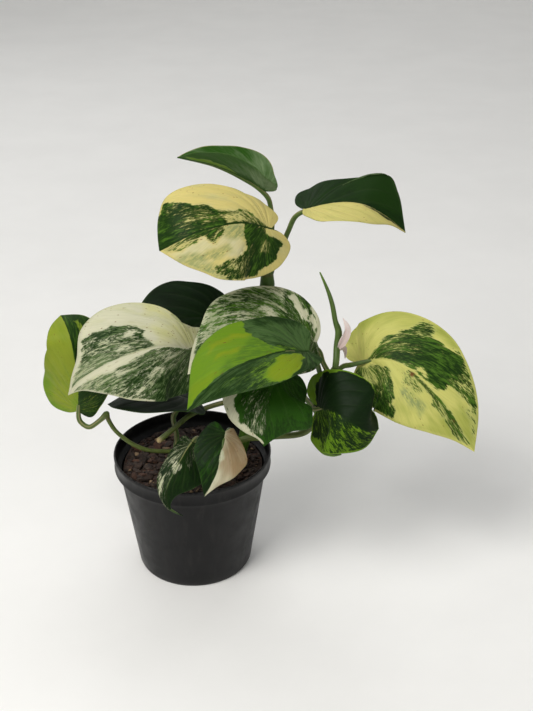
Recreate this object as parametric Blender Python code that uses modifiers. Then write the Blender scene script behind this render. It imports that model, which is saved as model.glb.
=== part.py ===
"""A variegated satin pothos growing in a black nursery pot.

Metres, Z up. The origin is the middle of the pot's flat base. +X runs to the right of the plant's
best side and +Y runs to its back. Lengths in the tables below are millimetres and angles are
degrees; MM turns them into metres where a mesh is made.

Each leaf is one thin blade on its own petiole, joined with it, and meets the vine it grows from
face to face. A blade is described the way a leaf is drawn: the route of its midrib, the way its
upper side faces there, and for each half the slope it leaves the midrib at, how much it curls and
the outline of its cut edge as if it lay flat, as (along the midrib, out from it).
"""

import math

import bmesh
import bpy
import numpy as np

MM = 0.001

# The pot
POT_HEIGHT = 85.0
RIM_RADIUS = 52.5
RIM_BAND = 10.5
BODY_TOP_RADIUS = 49.2
BASE_RADIUS = 38.0
POT_WALL = 1.3
POT_FLOOR = 2.0
POT_STEPS = 48
DRAIN_HOLES = 6
DRAIN_RING_RADIUS = 24.0
DRAIN_HOLE_RADIUS = 3.5

# The soil
SOIL_LEVEL = 74.0
SOIL_CROWN = 2.5
SOIL_WAVE = 1.1
SOIL_RINGS = 7

# Fits and leaf sizes
GAP = 0.3
BLADE_THICKNESS = 0.9
EDGE_CURL_SPAN = 35.0
LATERAL_SWEEP = 2.2
BLADE_ROWS = 14
BLADE_COLUMNS = 3
PETIOLE_RADIUS = 1.6
KEEL_STATIONS = ((0.10, 1.15), (0.25, 1.0), (0.42, 0.85), (0.60, 0.7), (0.78, 0.55))
KEEL_DROP = 0.75
TUBE_STEP = 7.0

# Each vine: its centre line, and the radius at each of those points
VINES = {
    "vine_main": (
        [(28, 4, 60), (31, 4, 78), (36, 4, 97), (43, 5, 135), (47, 7, 170), (49, 9, 196), (50, 9, 201),
         (50, 10, 207), (51, 11, 226)],
        [4.4, 4.4, 4.2, 4.0, 3.9, 4.0, 4.7, 4.0, 3.4],
    ),
    "vine_left": (
        [(4, 4, 62), (6, 2, 76), (4, -4, 86), (-3, -10, 90), (-12, -14, 92), (-27, -16, 94), (-38, -16, 99),
         (-48, -14, 107), (-53, -12, 115), (-54, -12, 121)],
        [1.5, 1.5, 1.5, 1.5, 1.4, 1.4, 1.4, 1.4, 1.5, 1.7],
    ),
    "vine_right": (
        [(16, -4, 62), (18, -6, 76), (22, -9, 90), (35, -12, 100), (53, -12, 102), (75, -14, 107),
         (84, -21, 130), (89, -26, 150), (92, -28, 162)],
        [2.2, 2.2, 2.1, 2.1, 2.1, 2.1, 2.2, 2.3, 2.2],
    ),
}

# The old petiole that was cut short, from the main vine to its healed end
CUT_PETIOLE = [(41, 5, 117), (28, 1, 121), (14, -5, 121), (0, -12, 118), (-11, -18, 111), (-21, -22, 104)]
CUT_PETIOLE_RADII = [1.9, 1.7, 1.6, 1.6, 1.7, 1.9]

# The youngest leaf, still rolled, on the end of the right vine
ROLLED_LEAF = [(92, -28, 161), (92.5, -26, 166), (93, -21, 173), (94, -18, 181), (92, -16, 188), (90, -14, 198),
               (87, -12, 207), (82, -10, 218)]
ROLLED_LEAF_RADII = [2.0, 2.0, 2.0, 2.1, 1.7, 1.5, 1.1, 0.45]

# Colour and roughness of each finish
FINISHES = {
    "leaf_green": ((0.075, 0.16, 0.05, 1), 0.45),
    "leaf_dark_green": ((0.02, 0.06, 0.02, 1), 0.45),
    "leaf_cream": ((0.68, 0.66, 0.33, 1), 0.45),
    "leaf_lime": ((0.27, 0.37, 0.08, 1), 0.45),
    "leaf_white_green": ((0.42, 0.50, 0.34, 1), 0.45),
    "vine": ((0.13, 0.22, 0.06, 1), 0.5),
    "bract": ((0.62, 0.48, 0.40, 1), 0.6),
    "pot_plastic": ((0.012, 0.012, 0.013, 1), 0.4),
    "soil": ((0.03, 0.02, 0.014, 1), 0.95),
}

LEAVES = {
    "leaf_top": dict(
        vine="vine_main", petiole=[(51, 11, 221), (53, 15, 239), (52, 15, 251), (50, 13, 258)],
        midrib=[(49, 12, 262), (37, 14, 269), (18, 14, 278), (-4, 10, 284)], face=(0, 0, 1),
        left=dict(slope=(42, 42), curl=(-5, -5), edge=[(-4, 8), (-4, 18), (6, 24), (21, 24), (38, 18), (51, 9)]),
        right=dict(slope=(33, 35), curl=(10, 10), edge=[(-5, 7), (1, 14), (13, 22), (24, 20), (34, 15), (44, 11), (53, 5)]),
        finish="leaf_green",
    ),
    "leaf_upper_left": dict(
        vine="vine_main", petiole=[(51, 10, 217), (54, 7, 226), (53, 1, 237)],
        midrib=[(52, -4, 244), (34, -15, 252), (10, -24, 250), (-4, -26, 244), (-14, -22, 237)], face=(0, -0.85, 0.5),
        left=dict(slope=(0, 0), curl=(-10, -10),
                  edge=[(-11, 2), (-17, 7), (-13, 19), (0, 29), (30, 34), (48, 29), (62, 18), (71, 7)]),
        right=dict(slope=(0, -10), curl=(-15, -20),
                   edge=[(-5, 7), (8, 15), (20, 19), (33, 27), (44, 30), (55, 30), (66, 26), (73, 18), (76, 8)]),
        finish="leaf_cream",
    ),
    "leaf_upper_right": dict(
        vine="vine_main", petiole=[(51, 10, 211), (58, 14, 222), (63, 12, 236), (68, 8, 248)],
        midrib=[(72, 5, 253), (91, 0, 259), (107, -6, 260), (121, -8, 253), (133, -8, 243)], face=(0, 0, 1),
        left=dict(slope=(10, 55), curl=(10, 10),
                  edge=[(-7, 9), (-7, 21), (4, 24), (23, 20), (37, 21), (45, 25), (53, 18), (62, 8)]),
        right=dict(slope=(0, -5), curl=(0, 0), edge=[(1, 7), (8, 19), (17, 28), (29, 31), (42, 24), (56, 9)]),
        finish="leaf_dark_green",
    ),
    "leaf_left": dict(
        vine="vine_main", petiole=[(43, 5, 131), (29, 4, 137), (16, 0, 151), (9, -5, 161)],
        midrib=[(6, -8, 164), (-16, -24, 174), (-43, -36, 170), (-63, -34, 157), (-75, -26, 141)], face=(0, -0.85, 0.5),
        left=dict(slope=(0, 0), curl=(-15, -15),
                  edge=[(-6, 10), (-5, 22), (5, 29), (38, 33), (60, 25), (75, 15), (91, 5)]),
        right=dict(slope=(0, 0), curl=(-15, -15),
                   edge=[(-4, 7), (-4, 13), (6, 14), (18, 17), (32, 29), (44, 33), (57, 33), (71, 27), (82, 12)]),
        finish="leaf_white_green",
    ),
    "leaf_far_left": dict(
        vine="vine_left", petiole=[(-54, -12, 119), (-59, -10, 113), (-66, -8, 107), (-71, -7, 109), (-73, -7, 114)],
        midrib=[(-73, -8, 119), (-70, -16, 143), (-71, -18, 169), (-75, -10, 180), (-81, 4, 182)],
        face=(-0.1, -0.9, 0.35),
        left=dict(slope=(-15, -20), curl=(-10, -10),
                  edge=[(-7, 8), (-10, 21), (1, 28), (27, 26), (47, 21), (64, 20), (76, 10)]),
        right=dict(slope=(-10, -30), curl=(-20, -20),
                   edge=[(-5, 8), (7, 15), (17, 19), (30, 28), (50, 27), (66, 18), (76, 9)]),
        finish="leaf_lime",
    ),
    "leaf_behind": dict(
        vine="vine_main", petiole=[(46, 7, 158), (39, 16, 160), (30, 25, 161)],
        midrib=[(23, 28, 163), (6, 20, 173), (-16, 12, 172), (-40, 10, 159)], face=(0, -0.7, 0.7),
        left=dict(slope=(0, 0), curl=(-10, -10), edge=[(-5, 10), (-5, 20), (8, 26), (24, 26), (42, 20)]),
        right=dict(slope=(0, 0), curl=(-15, -15),
                   edge=[(-5, 9), (-2, 18), (12, 23), (23, 26), (32, 29), (44, 27), (53, 21)]),
        finish="leaf_dark_green",
    ),
    "leaf_shaded": dict(
        vine="vine_left", petiole=[(-10, -13, 92), (-9, -12, 102), (-10, -9, 107), (-11, -6, 114), (-5, -3, 122)],
        midrib=[(0, -4, 126), (-16, -12, 134), (-35, -14, 134), (-53, -10, 125)], face=(0, 0, 1),
        left=dict(slope=(0, 0), curl=(-10, -10), edge=[(-5, 8), (-3, 18), (18, 22), (32, 22), (45, 15)]),
        right=dict(slope=(0, 0), curl=(-10, -10), edge=[(-5, 8), (-3, 19), (10, 24), (26, 22), (42, 13)]),
        finish="leaf_dark_green",
    ),
    "leaf_centre_back": dict(
        vine="vine_right", petiole=[(90, -26, 153), (85, -19, 160), (82, -13, 166)],
        midrib=[(81, -12, 171), (52, -20, 178), (27, -28, 175), (1, -34, 160)], face=(0, -0.85, 0.53),
        left=dict(slope=(0, 0), curl=(-15, -15), edge=[(-3, 8), (-2, 15), (8, 21), (24, 22), (44, 18), (64, 10)]),
        right=dict(slope=(0, 0), curl=(-15, -15),
                   edge=[(-2, 6), (-1, 15), (10, 27), (22, 32), (33, 34), (44, 34), (56, 31), (66, 21), (78, 11)]),
        finish="leaf_white_green",
    ),
    "leaf_centre_front": dict(
        vine="vine_right", petiole=[(88, -25, 146), (83, -23, 155), (79, -31, 168)],
        midrib=[(75, -42, 180), (55, -54, 185), (27, -68, 179), (3, -74, 157)], face=(0, -0.28, 0.96),
        left=dict(slope=(9, 5), curl=(0, 0), edge=[(-4, 8), (7, 18), (24, 25), (39, 26), (52, 22), (66, 13), (79, 5)]),
        right=dict(slope=(8, 8), curl=(0, 0),
                   edge=[(-5, 8), (-9, 16), (-5, 25), (8, 29), (23, 29), (42, 31), (56, 28), (69, 22), (80, 11)]),
        finish="leaf_lime",
    ),
    "leaf_low_centre": dict(
        vine="vine_right", petiole=[(82, -20, 125), (72, -27, 142), (65, -35, 158)],
        midrib=[(62, -38, 164), (53, -52, 161), (49, -64, 149), (48, -66, 128)], face=(0, -0.75, 0.65),
        left=dict(slope=(0, 0), curl=(-15, -15),
                  edge=[(-4, 8), (0, 16), (10, 22), (30, 28), (44, 27), (46, 17), (51, 6)]),
        right=dict(slope=(0, 0), curl=(-15, -15),
                   edge=[(-4, 8), (0, 18), (12, 26), (22, 28), (30, 27), (39, 22), (47, 12), (51, 4)]),
        finish="leaf_green",
    ),
    "leaf_curled": dict(
        vine="vine_right", petiole=[(86, -23, 135), (82, -30, 139), (79, -38, 138)],
        midrib=[(81, -42, 141), (90, -56, 147), (100, -64, 144), (110, -62, 137), (118, -52, 132)], face=(0, -0.9, 0.4),
        left=dict(slope=(0, -5), curl=(-30, -40),
                  edge=[(-9, 4), (-14, 9), (-11, 18), (-2, 22), (12, 25), (22, 27), (38, 24), (50, 17), (57, 8)]),
        right=dict(slope=(-5, -5), curl=(-30, -30),
                   edge=[(-6, 6), (-12, 16), (-18, 24), (-13, 32), (0, 33), (20, 28), (37, 22), (46, 13), (53, 4)]),
        finish="leaf_dark_green",
    ),
    "leaf_right": dict(
        vine="vine_right", petiole=[(91, -28, 157), (97, -20, 158), (103, -12, 155)],
        midrib=[(108, -8, 154), (127, -20, 162), (151, -34, 148), (180, -42, 109)], face=(-0.05, -0.87, 0.5),
        left=dict(slope=(0, 0), curl=(-12, -12),
                  edge=[(-9, 5), (-8, 15), (1, 24), (12, 27), (24, 33), (42, 34), (61, 28), (81, 19)]),
        right=dict(slope=(0, 0), curl=(-15, -15),
                   edge=[(-6, 10), (-4, 22), (6, 31), (30, 33), (63, 26), (78, 16), (92, 6)]),
        finish="leaf_cream",
    ),
    "leaf_drooping": dict(
        vine="vine_left", petiole=[(4, -4, 86), (8, -14, 98), (6, -26, 109), (4, -36, 114)],
        midrib=[(3, -40, 115), (-4, -54, 109), (-12, -64, 95), (-11, -66, 83), (-3, -64, 76)], face=(0.2, -0.9, 0.35),
        left=dict(slope=(-10, -15), curl=(-10, -10), edge=[(-3, 9), (4, 18), (14, 22), (22, 20), (32, 15), (45, 7)]),
        right=dict(slope=(-40, -30), curl=(-20, -20), edge=[(-3, 7), (6, 9), (20, 10), (31, 9), (41, 6), (49, 3)]),
        finish="leaf_dark_green",
    ),
    "leaf_rim": dict(
        vine="vine_right", petiole=[(22, -9, 90), (26, -20, 106), (26, -32, 119)],
        midrib=[(24, -42, 124), (21, -54, 113), (18, -60, 103), (11, -62, 89)], face=(0, -0.9, 0.35),
        left=dict(slope=(0, 0), curl=(-10, -10), edge=[(-3, 4), (1, 8), (9, 14), (17, 17), (24, 13), (33, 5)]),
        right=dict(slope=(0, 0), curl=(-20, -20), edge=[(-5, 8), (2, 14), (12, 17), (26, 13), (37, 6)]),
        finish="leaf_green",
    ),
}

# The papery bracts that wrapped the rolled leaf, from its stalk out to their tips
BRACTS = {
    "bract_upper": dict(midrib=[(93, -22, 171), (95, -23, 174), (98, -24, 181), (99, -24, 187), (96, -22, 193)],
                        width=2.6),
    "bract_lower": dict(midrib=[(93, -22, 170), (97, -17, 170), (99, -13, 165), (99, -12, 159)], width=1.6),
}
BRACT_FACE = (0.2, -0.9, 0.3)
BRACT_CURL = 60
BRACT_SLOPE = 10
BRACT_OUTLINE = ((0.12, 0.55), (0.45, 1.0), (0.8, 0.55))
BRACT_ROWS = 6
BRACT_COLUMNS = 2


def clear_scene():
    for obj in list(bpy.data.objects):
        bpy.data.objects.remove(obj)


def collection(name):
    made = bpy.data.collections.new(name)
    bpy.context.scene.collection.children.link(made)
    return made


def material(name, colour, roughness):
    made = bpy.data.materials.new(name)
    made.use_nodes = True
    shader = made.node_tree.nodes["Principled BSDF"]
    shader.inputs["Base Color"].default_value = colour
    shader.inputs["Roughness"].default_value = roughness
    return made


def smooth_curve(points, places):
    """Points of a Catmull-Rom curve through points, at places from 0 (first) to 1 (last)."""
    knots = np.asarray(points, float)
    knots = np.vstack([2 * knots[0] - knots[1], knots, 2 * knots[-1] - knots[-2]])
    spans = len(knots) - 3
    x = np.clip(np.asarray(places, float), 0, 1) * spans
    first = np.minimum(x.astype(int), spans - 1)
    f = (x - first)[..., None]
    a, b, c, d = knots[first], knots[first + 1], knots[first + 2], knots[first + 3]
    cubic = (2 * a - 5 * b + 4 * c - d) * f**2 + (3 * b - a - 3 * c + d) * f**3
    return 0.5 * (2 * b + (c - a) * f + cubic)


def unit(vectors):
    return vectors / np.linalg.norm(vectors, axis=-1, keepdims=True)


def distances(points):
    """How far along the polyline each of its points lies."""
    return np.concatenate([[0], np.cumsum(np.linalg.norm(np.diff(points, axis=0), axis=1))])


class Midrib:
    """The middle line of a blade, with the way the blade's upper side faces along it."""

    SAMPLES = 241
    REACH = 2.0

    def __init__(self, route, face):
        self.points = smooth_curve(route, np.linspace(0, 1, self.SAMPLES))
        self.along = distances(self.points)
        self.length = self.along[-1]
        self.face = unit(np.asarray(face, float))

    def point(self, along):
        return np.stack([np.interp(along, self.along, self.points[:, axis]) for axis in range(3)], -1)

    def frame(self, along):
        """Point, direction, upward normal and right-hand side; before the base it runs straight back."""
        along = np.asarray(along, float)
        inside = np.clip(along, 0, self.length)
        ahead = unit(self.point(inside + self.REACH) - self.point(inside - self.REACH))
        place = self.point(inside) + ahead * (along - inside)[..., None]
        up = unit(self.face - (ahead @ self.face)[..., None] * ahead)
        return place, ahead, up, np.cross(ahead, up)

    def half_surface(self, half, side, along, out):
        """The point of one half's curved face that lies along the midrib and out from it when flat."""
        place, _, up, right = self.frame(along)
        share = np.clip(along / self.length, 0, 1)
        slope = np.radians(np.interp(share, (0, 1), half["slope"]))
        bend = np.radians(np.interp(share, (0, 1), half["curl"])) / EDGE_CURL_SPAN
        bend = np.where(np.abs(bend) < 1e-6, 1e-6, bend)
        across = (np.sin(slope + bend * out) - np.sin(slope)) / bend
        rise = (np.cos(slope) - np.cos(slope + bend * out)) / bend
        return place + right * (side * across)[..., None] + up * rise[..., None]


def half_grid(rib, half, side, rows, columns):
    """Rows of points that follow the side veins of one half, from the midrib out to the cut edge."""
    outline = np.array([(0, 0), *half["edge"], (rib.length, 0)], float)
    spread = distances(outline)
    share = np.linspace(0, 1, rows + 1)
    rim = smooth_curve(outline, np.interp(share, spread / spread[-1], np.linspace(0, 1, len(outline))))
    foot = (rib.length * share**LATERAL_SWEEP)[:, None]
    out = np.linspace(0, 1, columns + 1)[None, :]
    rim_along, rim_out = rim[:, :1], rim[:, 1:]
    bow_along = foot + 0.35 * (rim_along - foot)
    along = (1 - out) ** 2 * foot + 2 * out * (1 - out) * bow_along + out**2 * rim_along
    away = 2 * out * (1 - out) * 0.55 * rim_out + out**2 * rim_out
    return rib.half_surface(half, side, along, away)


def blade_object(name, rib, halves, rows, columns, home):
    """The blade's middle surface from both halves, thickened evenly on both faces."""
    bm = bmesh.new()
    for side in (-1, 1):
        grid = half_grid(rib, halves[side], side, rows, columns) * MM
        corners = [[bm.verts.new(tuple(point)) for point in line] for line in grid]
        for row in range(rows):
            for column in range(columns):
                quad = [corners[row][column], corners[row + 1][column],
                        corners[row + 1][column + 1], corners[row][column + 1]]
                bm.faces.new(quad if side < 0 else quad[::-1])
    bmesh.ops.remove_doubles(bm, verts=bm.verts, dist=0.02 * MM)
    bmesh.ops.triangulate(bm, faces=bm.faces, quad_method="FIXED")
    mesh = bpy.data.meshes.new(name)
    bm.to_mesh(mesh)
    bm.free()
    obj = bpy.data.objects.new(name, mesh)
    home.objects.link(obj)
    shell = obj.modifiers.new("Thickness", "SOLIDIFY")
    shell.thickness = BLADE_THICKNESS * MM
    shell.offset = 0
    return applied(obj)


def applied(obj):
    """Turns the object into a plain mesh of what its modifiers or its curve give."""
    bpy.context.view_layer.update()
    evaluated = obj.evaluated_get(bpy.context.evaluated_depsgraph_get())
    mesh = bpy.data.meshes.new_from_object(evaluated)
    if obj.type == "CURVE":
        bm = bmesh.new()
        bm.from_mesh(mesh)
        bmesh.ops.remove_doubles(bm, verts=bm.verts, dist=0.01 * MM)
        bm.to_mesh(mesh)
        bm.free()
        made = bpy.data.objects.new(obj.name, mesh)
        made.matrix_world = obj.matrix_world
        obj.users_collection[0].objects.link(made)
        name = obj.name
        bpy.data.objects.remove(obj)
        made.name = name
        return made
    obj.modifiers.clear()
    obj.data = mesh
    return obj


def tube_object(name, points, radii, home, grow=0.0, resolution=1):
    """A round stalk through the points, smoothed, with its radius read along it; grow makes a cutter of it."""
    fine = smooth_curve(points, np.linspace(0, 1, 40 * (len(points) - 1) + 1))
    fine[-1] += unit(fine[-1] - fine[-2]) * grow
    along = distances(fine)
    count = max(2, round(along[-1] / TUBE_STEP))
    stations = np.linspace(0, along[-1], count + 1)
    knot_along = np.interp(np.linspace(0, 1, len(points)), np.linspace(0, 1, len(fine)), along)
    curve = bpy.data.curves.new(name, "CURVE")
    curve.dimensions = "3D"
    curve.bevel_depth = MM
    curve.bevel_resolution = resolution
    curve.use_fill_caps = True
    spline = curve.splines.new("POLY")
    spline.points.add(count)
    for knot, station in zip(spline.points, stations):
        place = [np.interp(station, along, fine[:, axis]) * MM for axis in range(3)]
        knot.co = (*place, 1)
        knot.radius = float(np.interp(station, knot_along, radii)) + grow
    obj = bpy.data.objects.new(name, curve)
    home.objects.link(obj)
    return applied(obj)


def boolean(obj, other, operation, solver="EXACT"):
    modifier = obj.modifiers.new(operation.title(), "BOOLEAN")
    modifier.operation = operation
    modifier.solver = solver
    modifier.object = other
    return applied(obj)


def finish_piece(obj, finish):
    obj.data.materials.clear()
    obj.data.materials.append(finish)
    obj.data.shade_smooth()
    obj.data.set_sharp_from_angle(angle=math.radians(50))


def leaf_stalk_points(rib, petiole):
    """The petiole's route on into the keel under the midrib, and the radius at each point."""
    places = list(petiole)
    radii = [PETIOLE_RADIUS] * len(places)
    for share, keel_radius in KEEL_STATIONS:
        place, _, up, _ = rib.frame(np.array(share * rib.length))
        places.append(tuple(place - up * (KEEL_DROP * keel_radius)))
        radii.append(keel_radius)
    return places, radii


def leaf(name, spec, home, cutter, finish):
    rib = Midrib(spec["midrib"], spec["face"])
    halves = {-1: spec["left"], 1: spec["right"]}
    obj = blade_object(name, rib, halves, BLADE_ROWS, BLADE_COLUMNS, home)
    places, radii = leaf_stalk_points(rib, spec["petiole"])
    stalk = tube_object(name + "_stalk", places, radii, home)
    obj = boolean(obj, stalk, "UNION")
    bpy.data.objects.remove(stalk)
    obj = boolean(obj, cutter, "DIFFERENCE")
    finish_piece(obj, finish)
    return obj


def bract(name, spec, home, cutter, finish):
    """A narrow pointed scale, drawn like a leaf with both halves alike."""
    rib = Midrib(spec["midrib"], BRACT_FACE)
    width = spec["width"]
    edge = [(share * rib.length, part * width) for share, part in BRACT_OUTLINE]
    half = dict(slope=(BRACT_SLOPE, 0), curl=(BRACT_CURL, BRACT_CURL), edge=edge)
    obj = blade_object(name, rib, {-1: half, 1: half}, BRACT_ROWS, BRACT_COLUMNS, home)
    obj = boolean(obj, cutter, "DIFFERENCE", "MANIFOLD")
    finish_piece(obj, finish)
    return obj


def turned(name, profile, steps, home):
    """A solid of revolution: the profile runs inside up, over the top, and down the outer side."""
    mesh = bpy.data.meshes.new(name)
    mesh.from_pydata([(r * MM, 0, z * MM) for r, z in profile],
                     [(i, i + 1) for i in range(len(profile) - 1)], [])
    obj = bpy.data.objects.new(name, mesh)
    home.objects.link(obj)
    screw = obj.modifiers.new("Turn", "SCREW")
    screw.steps = steps
    screw.render_steps = steps
    screw.use_merge_vertices = True
    screw.merge_threshold = 0.00001
    return applied(obj)


def inner_wall_radius(height):
    """The inner face of the pot's body, which leans out from its floor to under the rim."""
    bottom = BASE_RADIUS - POT_WALL
    top = BODY_TOP_RADIUS - POT_WALL
    return bottom + (top - bottom) * (height - POT_FLOOR) / (POT_HEIGHT - RIM_BAND - POT_FLOOR)


def pot(home, cutters, finish):
    band_foot = POT_HEIGHT - RIM_BAND
    profile = [
        (0, POT_FLOOR), (inner_wall_radius(POT_FLOOR) - 1.5, POT_FLOOR), (inner_wall_radius(4.5), 4.5),
        (inner_wall_radius(band_foot - 1), band_foot - 1), (RIM_RADIUS - 1.6, band_foot + 1.8),
        (RIM_RADIUS - 1.4, POT_HEIGHT - 0.8), (RIM_RADIUS - 0.9, POT_HEIGHT), (RIM_RADIUS - 0.3, POT_HEIGHT - 0.2),
        (RIM_RADIUS, POT_HEIGHT - 1.0), (RIM_RADIUS - 0.2, band_foot + 0.6), (RIM_RADIUS - 0.7, band_foot),
        (BODY_TOP_RADIUS, band_foot - 0.8), (BASE_RADIUS + 0.7, 2.6), (BASE_RADIUS, 0.8), (BASE_RADIUS - 1.0, 0), (0, 0),
    ]
    obj = turned("pot", profile, POT_STEPS, home)
    for hole in range(DRAIN_HOLES):
        turn = 2 * math.pi * (hole + 0.5) / DRAIN_HOLES
        bpy.ops.mesh.primitive_cylinder_add(
            vertices=16, radius=DRAIN_HOLE_RADIUS * MM, depth=4 * POT_FLOOR * MM,
            location=(DRAIN_RING_RADIUS * math.cos(turn) * MM, DRAIN_RING_RADIUS * math.sin(turn) * MM, POT_FLOOR / 2 * MM))
        drill = bpy.context.object
        cutters.objects.link(drill)
        obj = boolean(obj, drill, "DIFFERENCE")
        bpy.data.objects.remove(drill)
    finish_piece(obj, finish)
    return obj


def soil_height(x, y):
    """The lumpy top of the soil, a little crowned in the middle, in millimetres."""
    crown = SOIL_CROWN * (1 - (math.hypot(x, y) / BODY_TOP_RADIUS) ** 2)
    waves = math.sin(0.21 * x + 0.6) * math.cos(0.17 * y) + 0.6 * math.sin(0.33 * x - 0.29 * y + 1.0)
    return SOIL_LEVEL + crown + SOIL_WAVE * waves


def soil(home, vine_cutters, finish):
    edge = inner_wall_radius(SOIL_LEVEL - 4) - GAP - 0.4
    foot = inner_wall_radius(POT_FLOOR + 2.5) - 2.0
    top = [(edge * ring / SOIL_RINGS, SOIL_LEVEL) for ring in range(SOIL_RINGS + 1)]
    profile = top + [(edge, SOIL_LEVEL - 4), (foot, POT_FLOOR + 2.5), (foot - 1.5, POT_FLOOR + GAP), (0, POT_FLOOR + GAP)]
    obj = turned("soil", profile, POT_STEPS, home)
    for corner in obj.data.vertices:
        if corner.co.z > (SOIL_LEVEL - 1) * MM:
            corner.co.z = soil_height(corner.co.x / MM, corner.co.y / MM) * MM
    for cutter in vine_cutters:
        obj = boolean(obj, cutter, "DIFFERENCE")
    finish_piece(obj, finish)
    return obj


def main():
    clear_scene()
    home = collection("satin_pothos")
    cutters = collection("cutters")
    finishes = {name: material(name, colour, roughness) for name, (colour, roughness) in FINISHES.items()}
    vine_cutters = {}
    for name, (route, radii) in VINES.items():
        finish_piece(tube_object(name, route, radii, home, resolution=2), finishes["vine"])
        vine_cutters[name] = tube_object(name + "_cutter", route, radii, cutters, grow=GAP, resolution=2)
    for name, spec in LEAVES.items():
        leaf(name, spec, home, vine_cutters[spec["vine"]], finishes[spec["finish"]])
    cut = tube_object("cut_petiole", CUT_PETIOLE, CUT_PETIOLE_RADII, home)
    finish_piece(boolean(cut, vine_cutters["vine_main"], "DIFFERENCE"), finishes["vine"])
    rolled = tube_object("rolled_leaf", ROLLED_LEAF, ROLLED_LEAF_RADII, home, resolution=2)
    finish_piece(boolean(rolled, vine_cutters["vine_right"], "DIFFERENCE"), finishes["leaf_green"])
    rolled_cutter = tube_object("rolled_leaf_cutter", ROLLED_LEAF, ROLLED_LEAF_RADII, cutters, grow=GAP, resolution=2)
    for name, spec in BRACTS.items():
        bract(name, spec, home, rolled_cutter, finishes["bract"])
    pot(home, cutters, finishes["pot_plastic"])
    soil(home, vine_cutters.values(), finishes["soil"])
    for cutter in list(cutters.objects):
        bpy.data.objects.remove(cutter)


main()
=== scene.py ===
"""Looks of a variegated satin pothos in a black nursery pot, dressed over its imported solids.

The file is laid out as an add-on and run as a script. Each operator makes one kind of piece, and the
panel in the sidebar lists them. Lengths in the tables are millimetres and angles are degrees; MM
turns them into metres where a mesh is made. Only the softboxes and the studio floor are in metres.
Routes and outlines repeat those of the solids, so a piece lies where its node lies.

A leaf half is painted on the leaf as if it lay flat: (along the midrib, out from it), with the left
half's distances positive and the right half's negative, as seen looking from the base to the tip.
"""

import math

import bmesh
import bpy
import numpy as np
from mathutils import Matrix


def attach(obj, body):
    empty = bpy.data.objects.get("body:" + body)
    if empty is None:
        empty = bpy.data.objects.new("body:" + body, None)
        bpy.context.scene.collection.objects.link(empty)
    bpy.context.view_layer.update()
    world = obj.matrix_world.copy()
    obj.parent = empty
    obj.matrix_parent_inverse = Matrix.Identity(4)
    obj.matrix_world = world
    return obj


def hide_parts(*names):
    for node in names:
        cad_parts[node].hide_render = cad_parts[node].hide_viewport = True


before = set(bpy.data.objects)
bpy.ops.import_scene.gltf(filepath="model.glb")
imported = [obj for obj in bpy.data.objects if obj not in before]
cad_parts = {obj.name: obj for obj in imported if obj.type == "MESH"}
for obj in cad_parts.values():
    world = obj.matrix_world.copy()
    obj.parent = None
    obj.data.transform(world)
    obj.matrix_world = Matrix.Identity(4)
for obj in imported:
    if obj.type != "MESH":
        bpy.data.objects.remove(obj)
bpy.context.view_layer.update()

bl_info = {
    "name": "Variegated satin pothos",
    "version": (1, 0, 0),
    "blender": (4, 5, 0),
    "location": "View3D > Sidebar > Pothos",
    "description": "Builds the leaves, stems, soil and pot of a variegated satin pothos",
    "category": "Object",
}

MM = 0.001

# The pot. Edges over SHARP_PLASTIC stay sharp, as those over SHARP_BARK do in the soil.
POT_HEIGHT = 85.0
RIM_RADIUS = 52.5
RIM_BAND = 10.5
BODY_TOP_RADIUS = 49.2
BASE_RADIUS = 38.0
POT_WALL = 1.3
POT_FLOOR = 2.0
DRAIN_HOLES = 6
DRAIN_RING_RADIUS = 24.0
DRAIN_HOLE_RADIUS = 3.5
BASE_FLARE = 0.7
SHARP_PLASTIC = 42

# The soil
SOIL_LEVEL = 74.0
SOIL_CROWN = 2.5
SOIL_WAVE = 1.1
SOIL_ROUGHNESS = 0.32
SOIL_SHOULDER = 4.0
SOIL_STEPS = 144
SOIL_RINGS = 45
SHARP_BARK = 38

# The camera, in front and above, and its tilt from straight down
CAMERA_PLACE = (49.5, -674.1, 506.4)
CAMERA_TILT = 62.5
CAMERA_LENS = 60.0
CAMERA_SENSOR = 36.0

# The softboxes in metres: place, the point it looks at, width and height, tint
SOFTBOXES = {
    "key": ((-0.55, -0.75, 1.25), (0.03, 0, 0.15), (0.7, 0.7), (1, 0.985, 0.96)),
    "fill": ((0.9, -1.1, 0.7), (0.03, 0, 0.12), (1.2, 0.9), (1, 1, 1)),
    "back": ((0.15, 0.55, 1.45), (0.03, 0, 0.15), (0.9, 0.6), (1, 1, 1)),
    "rear": ((-0.8, 1.0, 0.9), (0.03, 0, 0.12), (1.0, 0.8), (1, 1, 1)),
    "floor": ((0.1, 1.7, 2.2), (0.1, 2.1, 0), (1.8, 1.2), (1, 1, 1)),
}
ROOM_TINT = (0.92, 0.94, 0.97, 1)

# How every leaf is drawn. A half turns by its curl over EDGE_CURL_SPAN. Its side veins leave the
# midrib close to the base, apart from the share EVEN_FEET, and bow out by VEIN_BOW. The two
# crowdings draw the grid's rows together at the tip and its columns at the midrib.
EDGE_CURL_SPAN = 35.0
LATERAL_SWEEP = 8.0
EVEN_FEET = 0.10
VEIN_BOW = (0.42, 0.72)
TIP_CROWDING = 1.6
COLUMN_CROWDING = 1.3

# How far apart the leaf halves lie on the map that their marbling is drawn on
GRAIN_APART = 311.0

# How a mark's outline wanders along the leaf and out from the midrib, as waves: their size, their
# turn for each millimetre along and out, and where they start
WANDER_ALONG = ((0.6, 0.31, 0.62, 0.0), (0.35, -0.4, 1.45, 0.0))
WANDER_OUT = ((0.55, 0.55, 0.0, 1.0), (0.3, 1.3, 0.5, 2.0))

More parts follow.
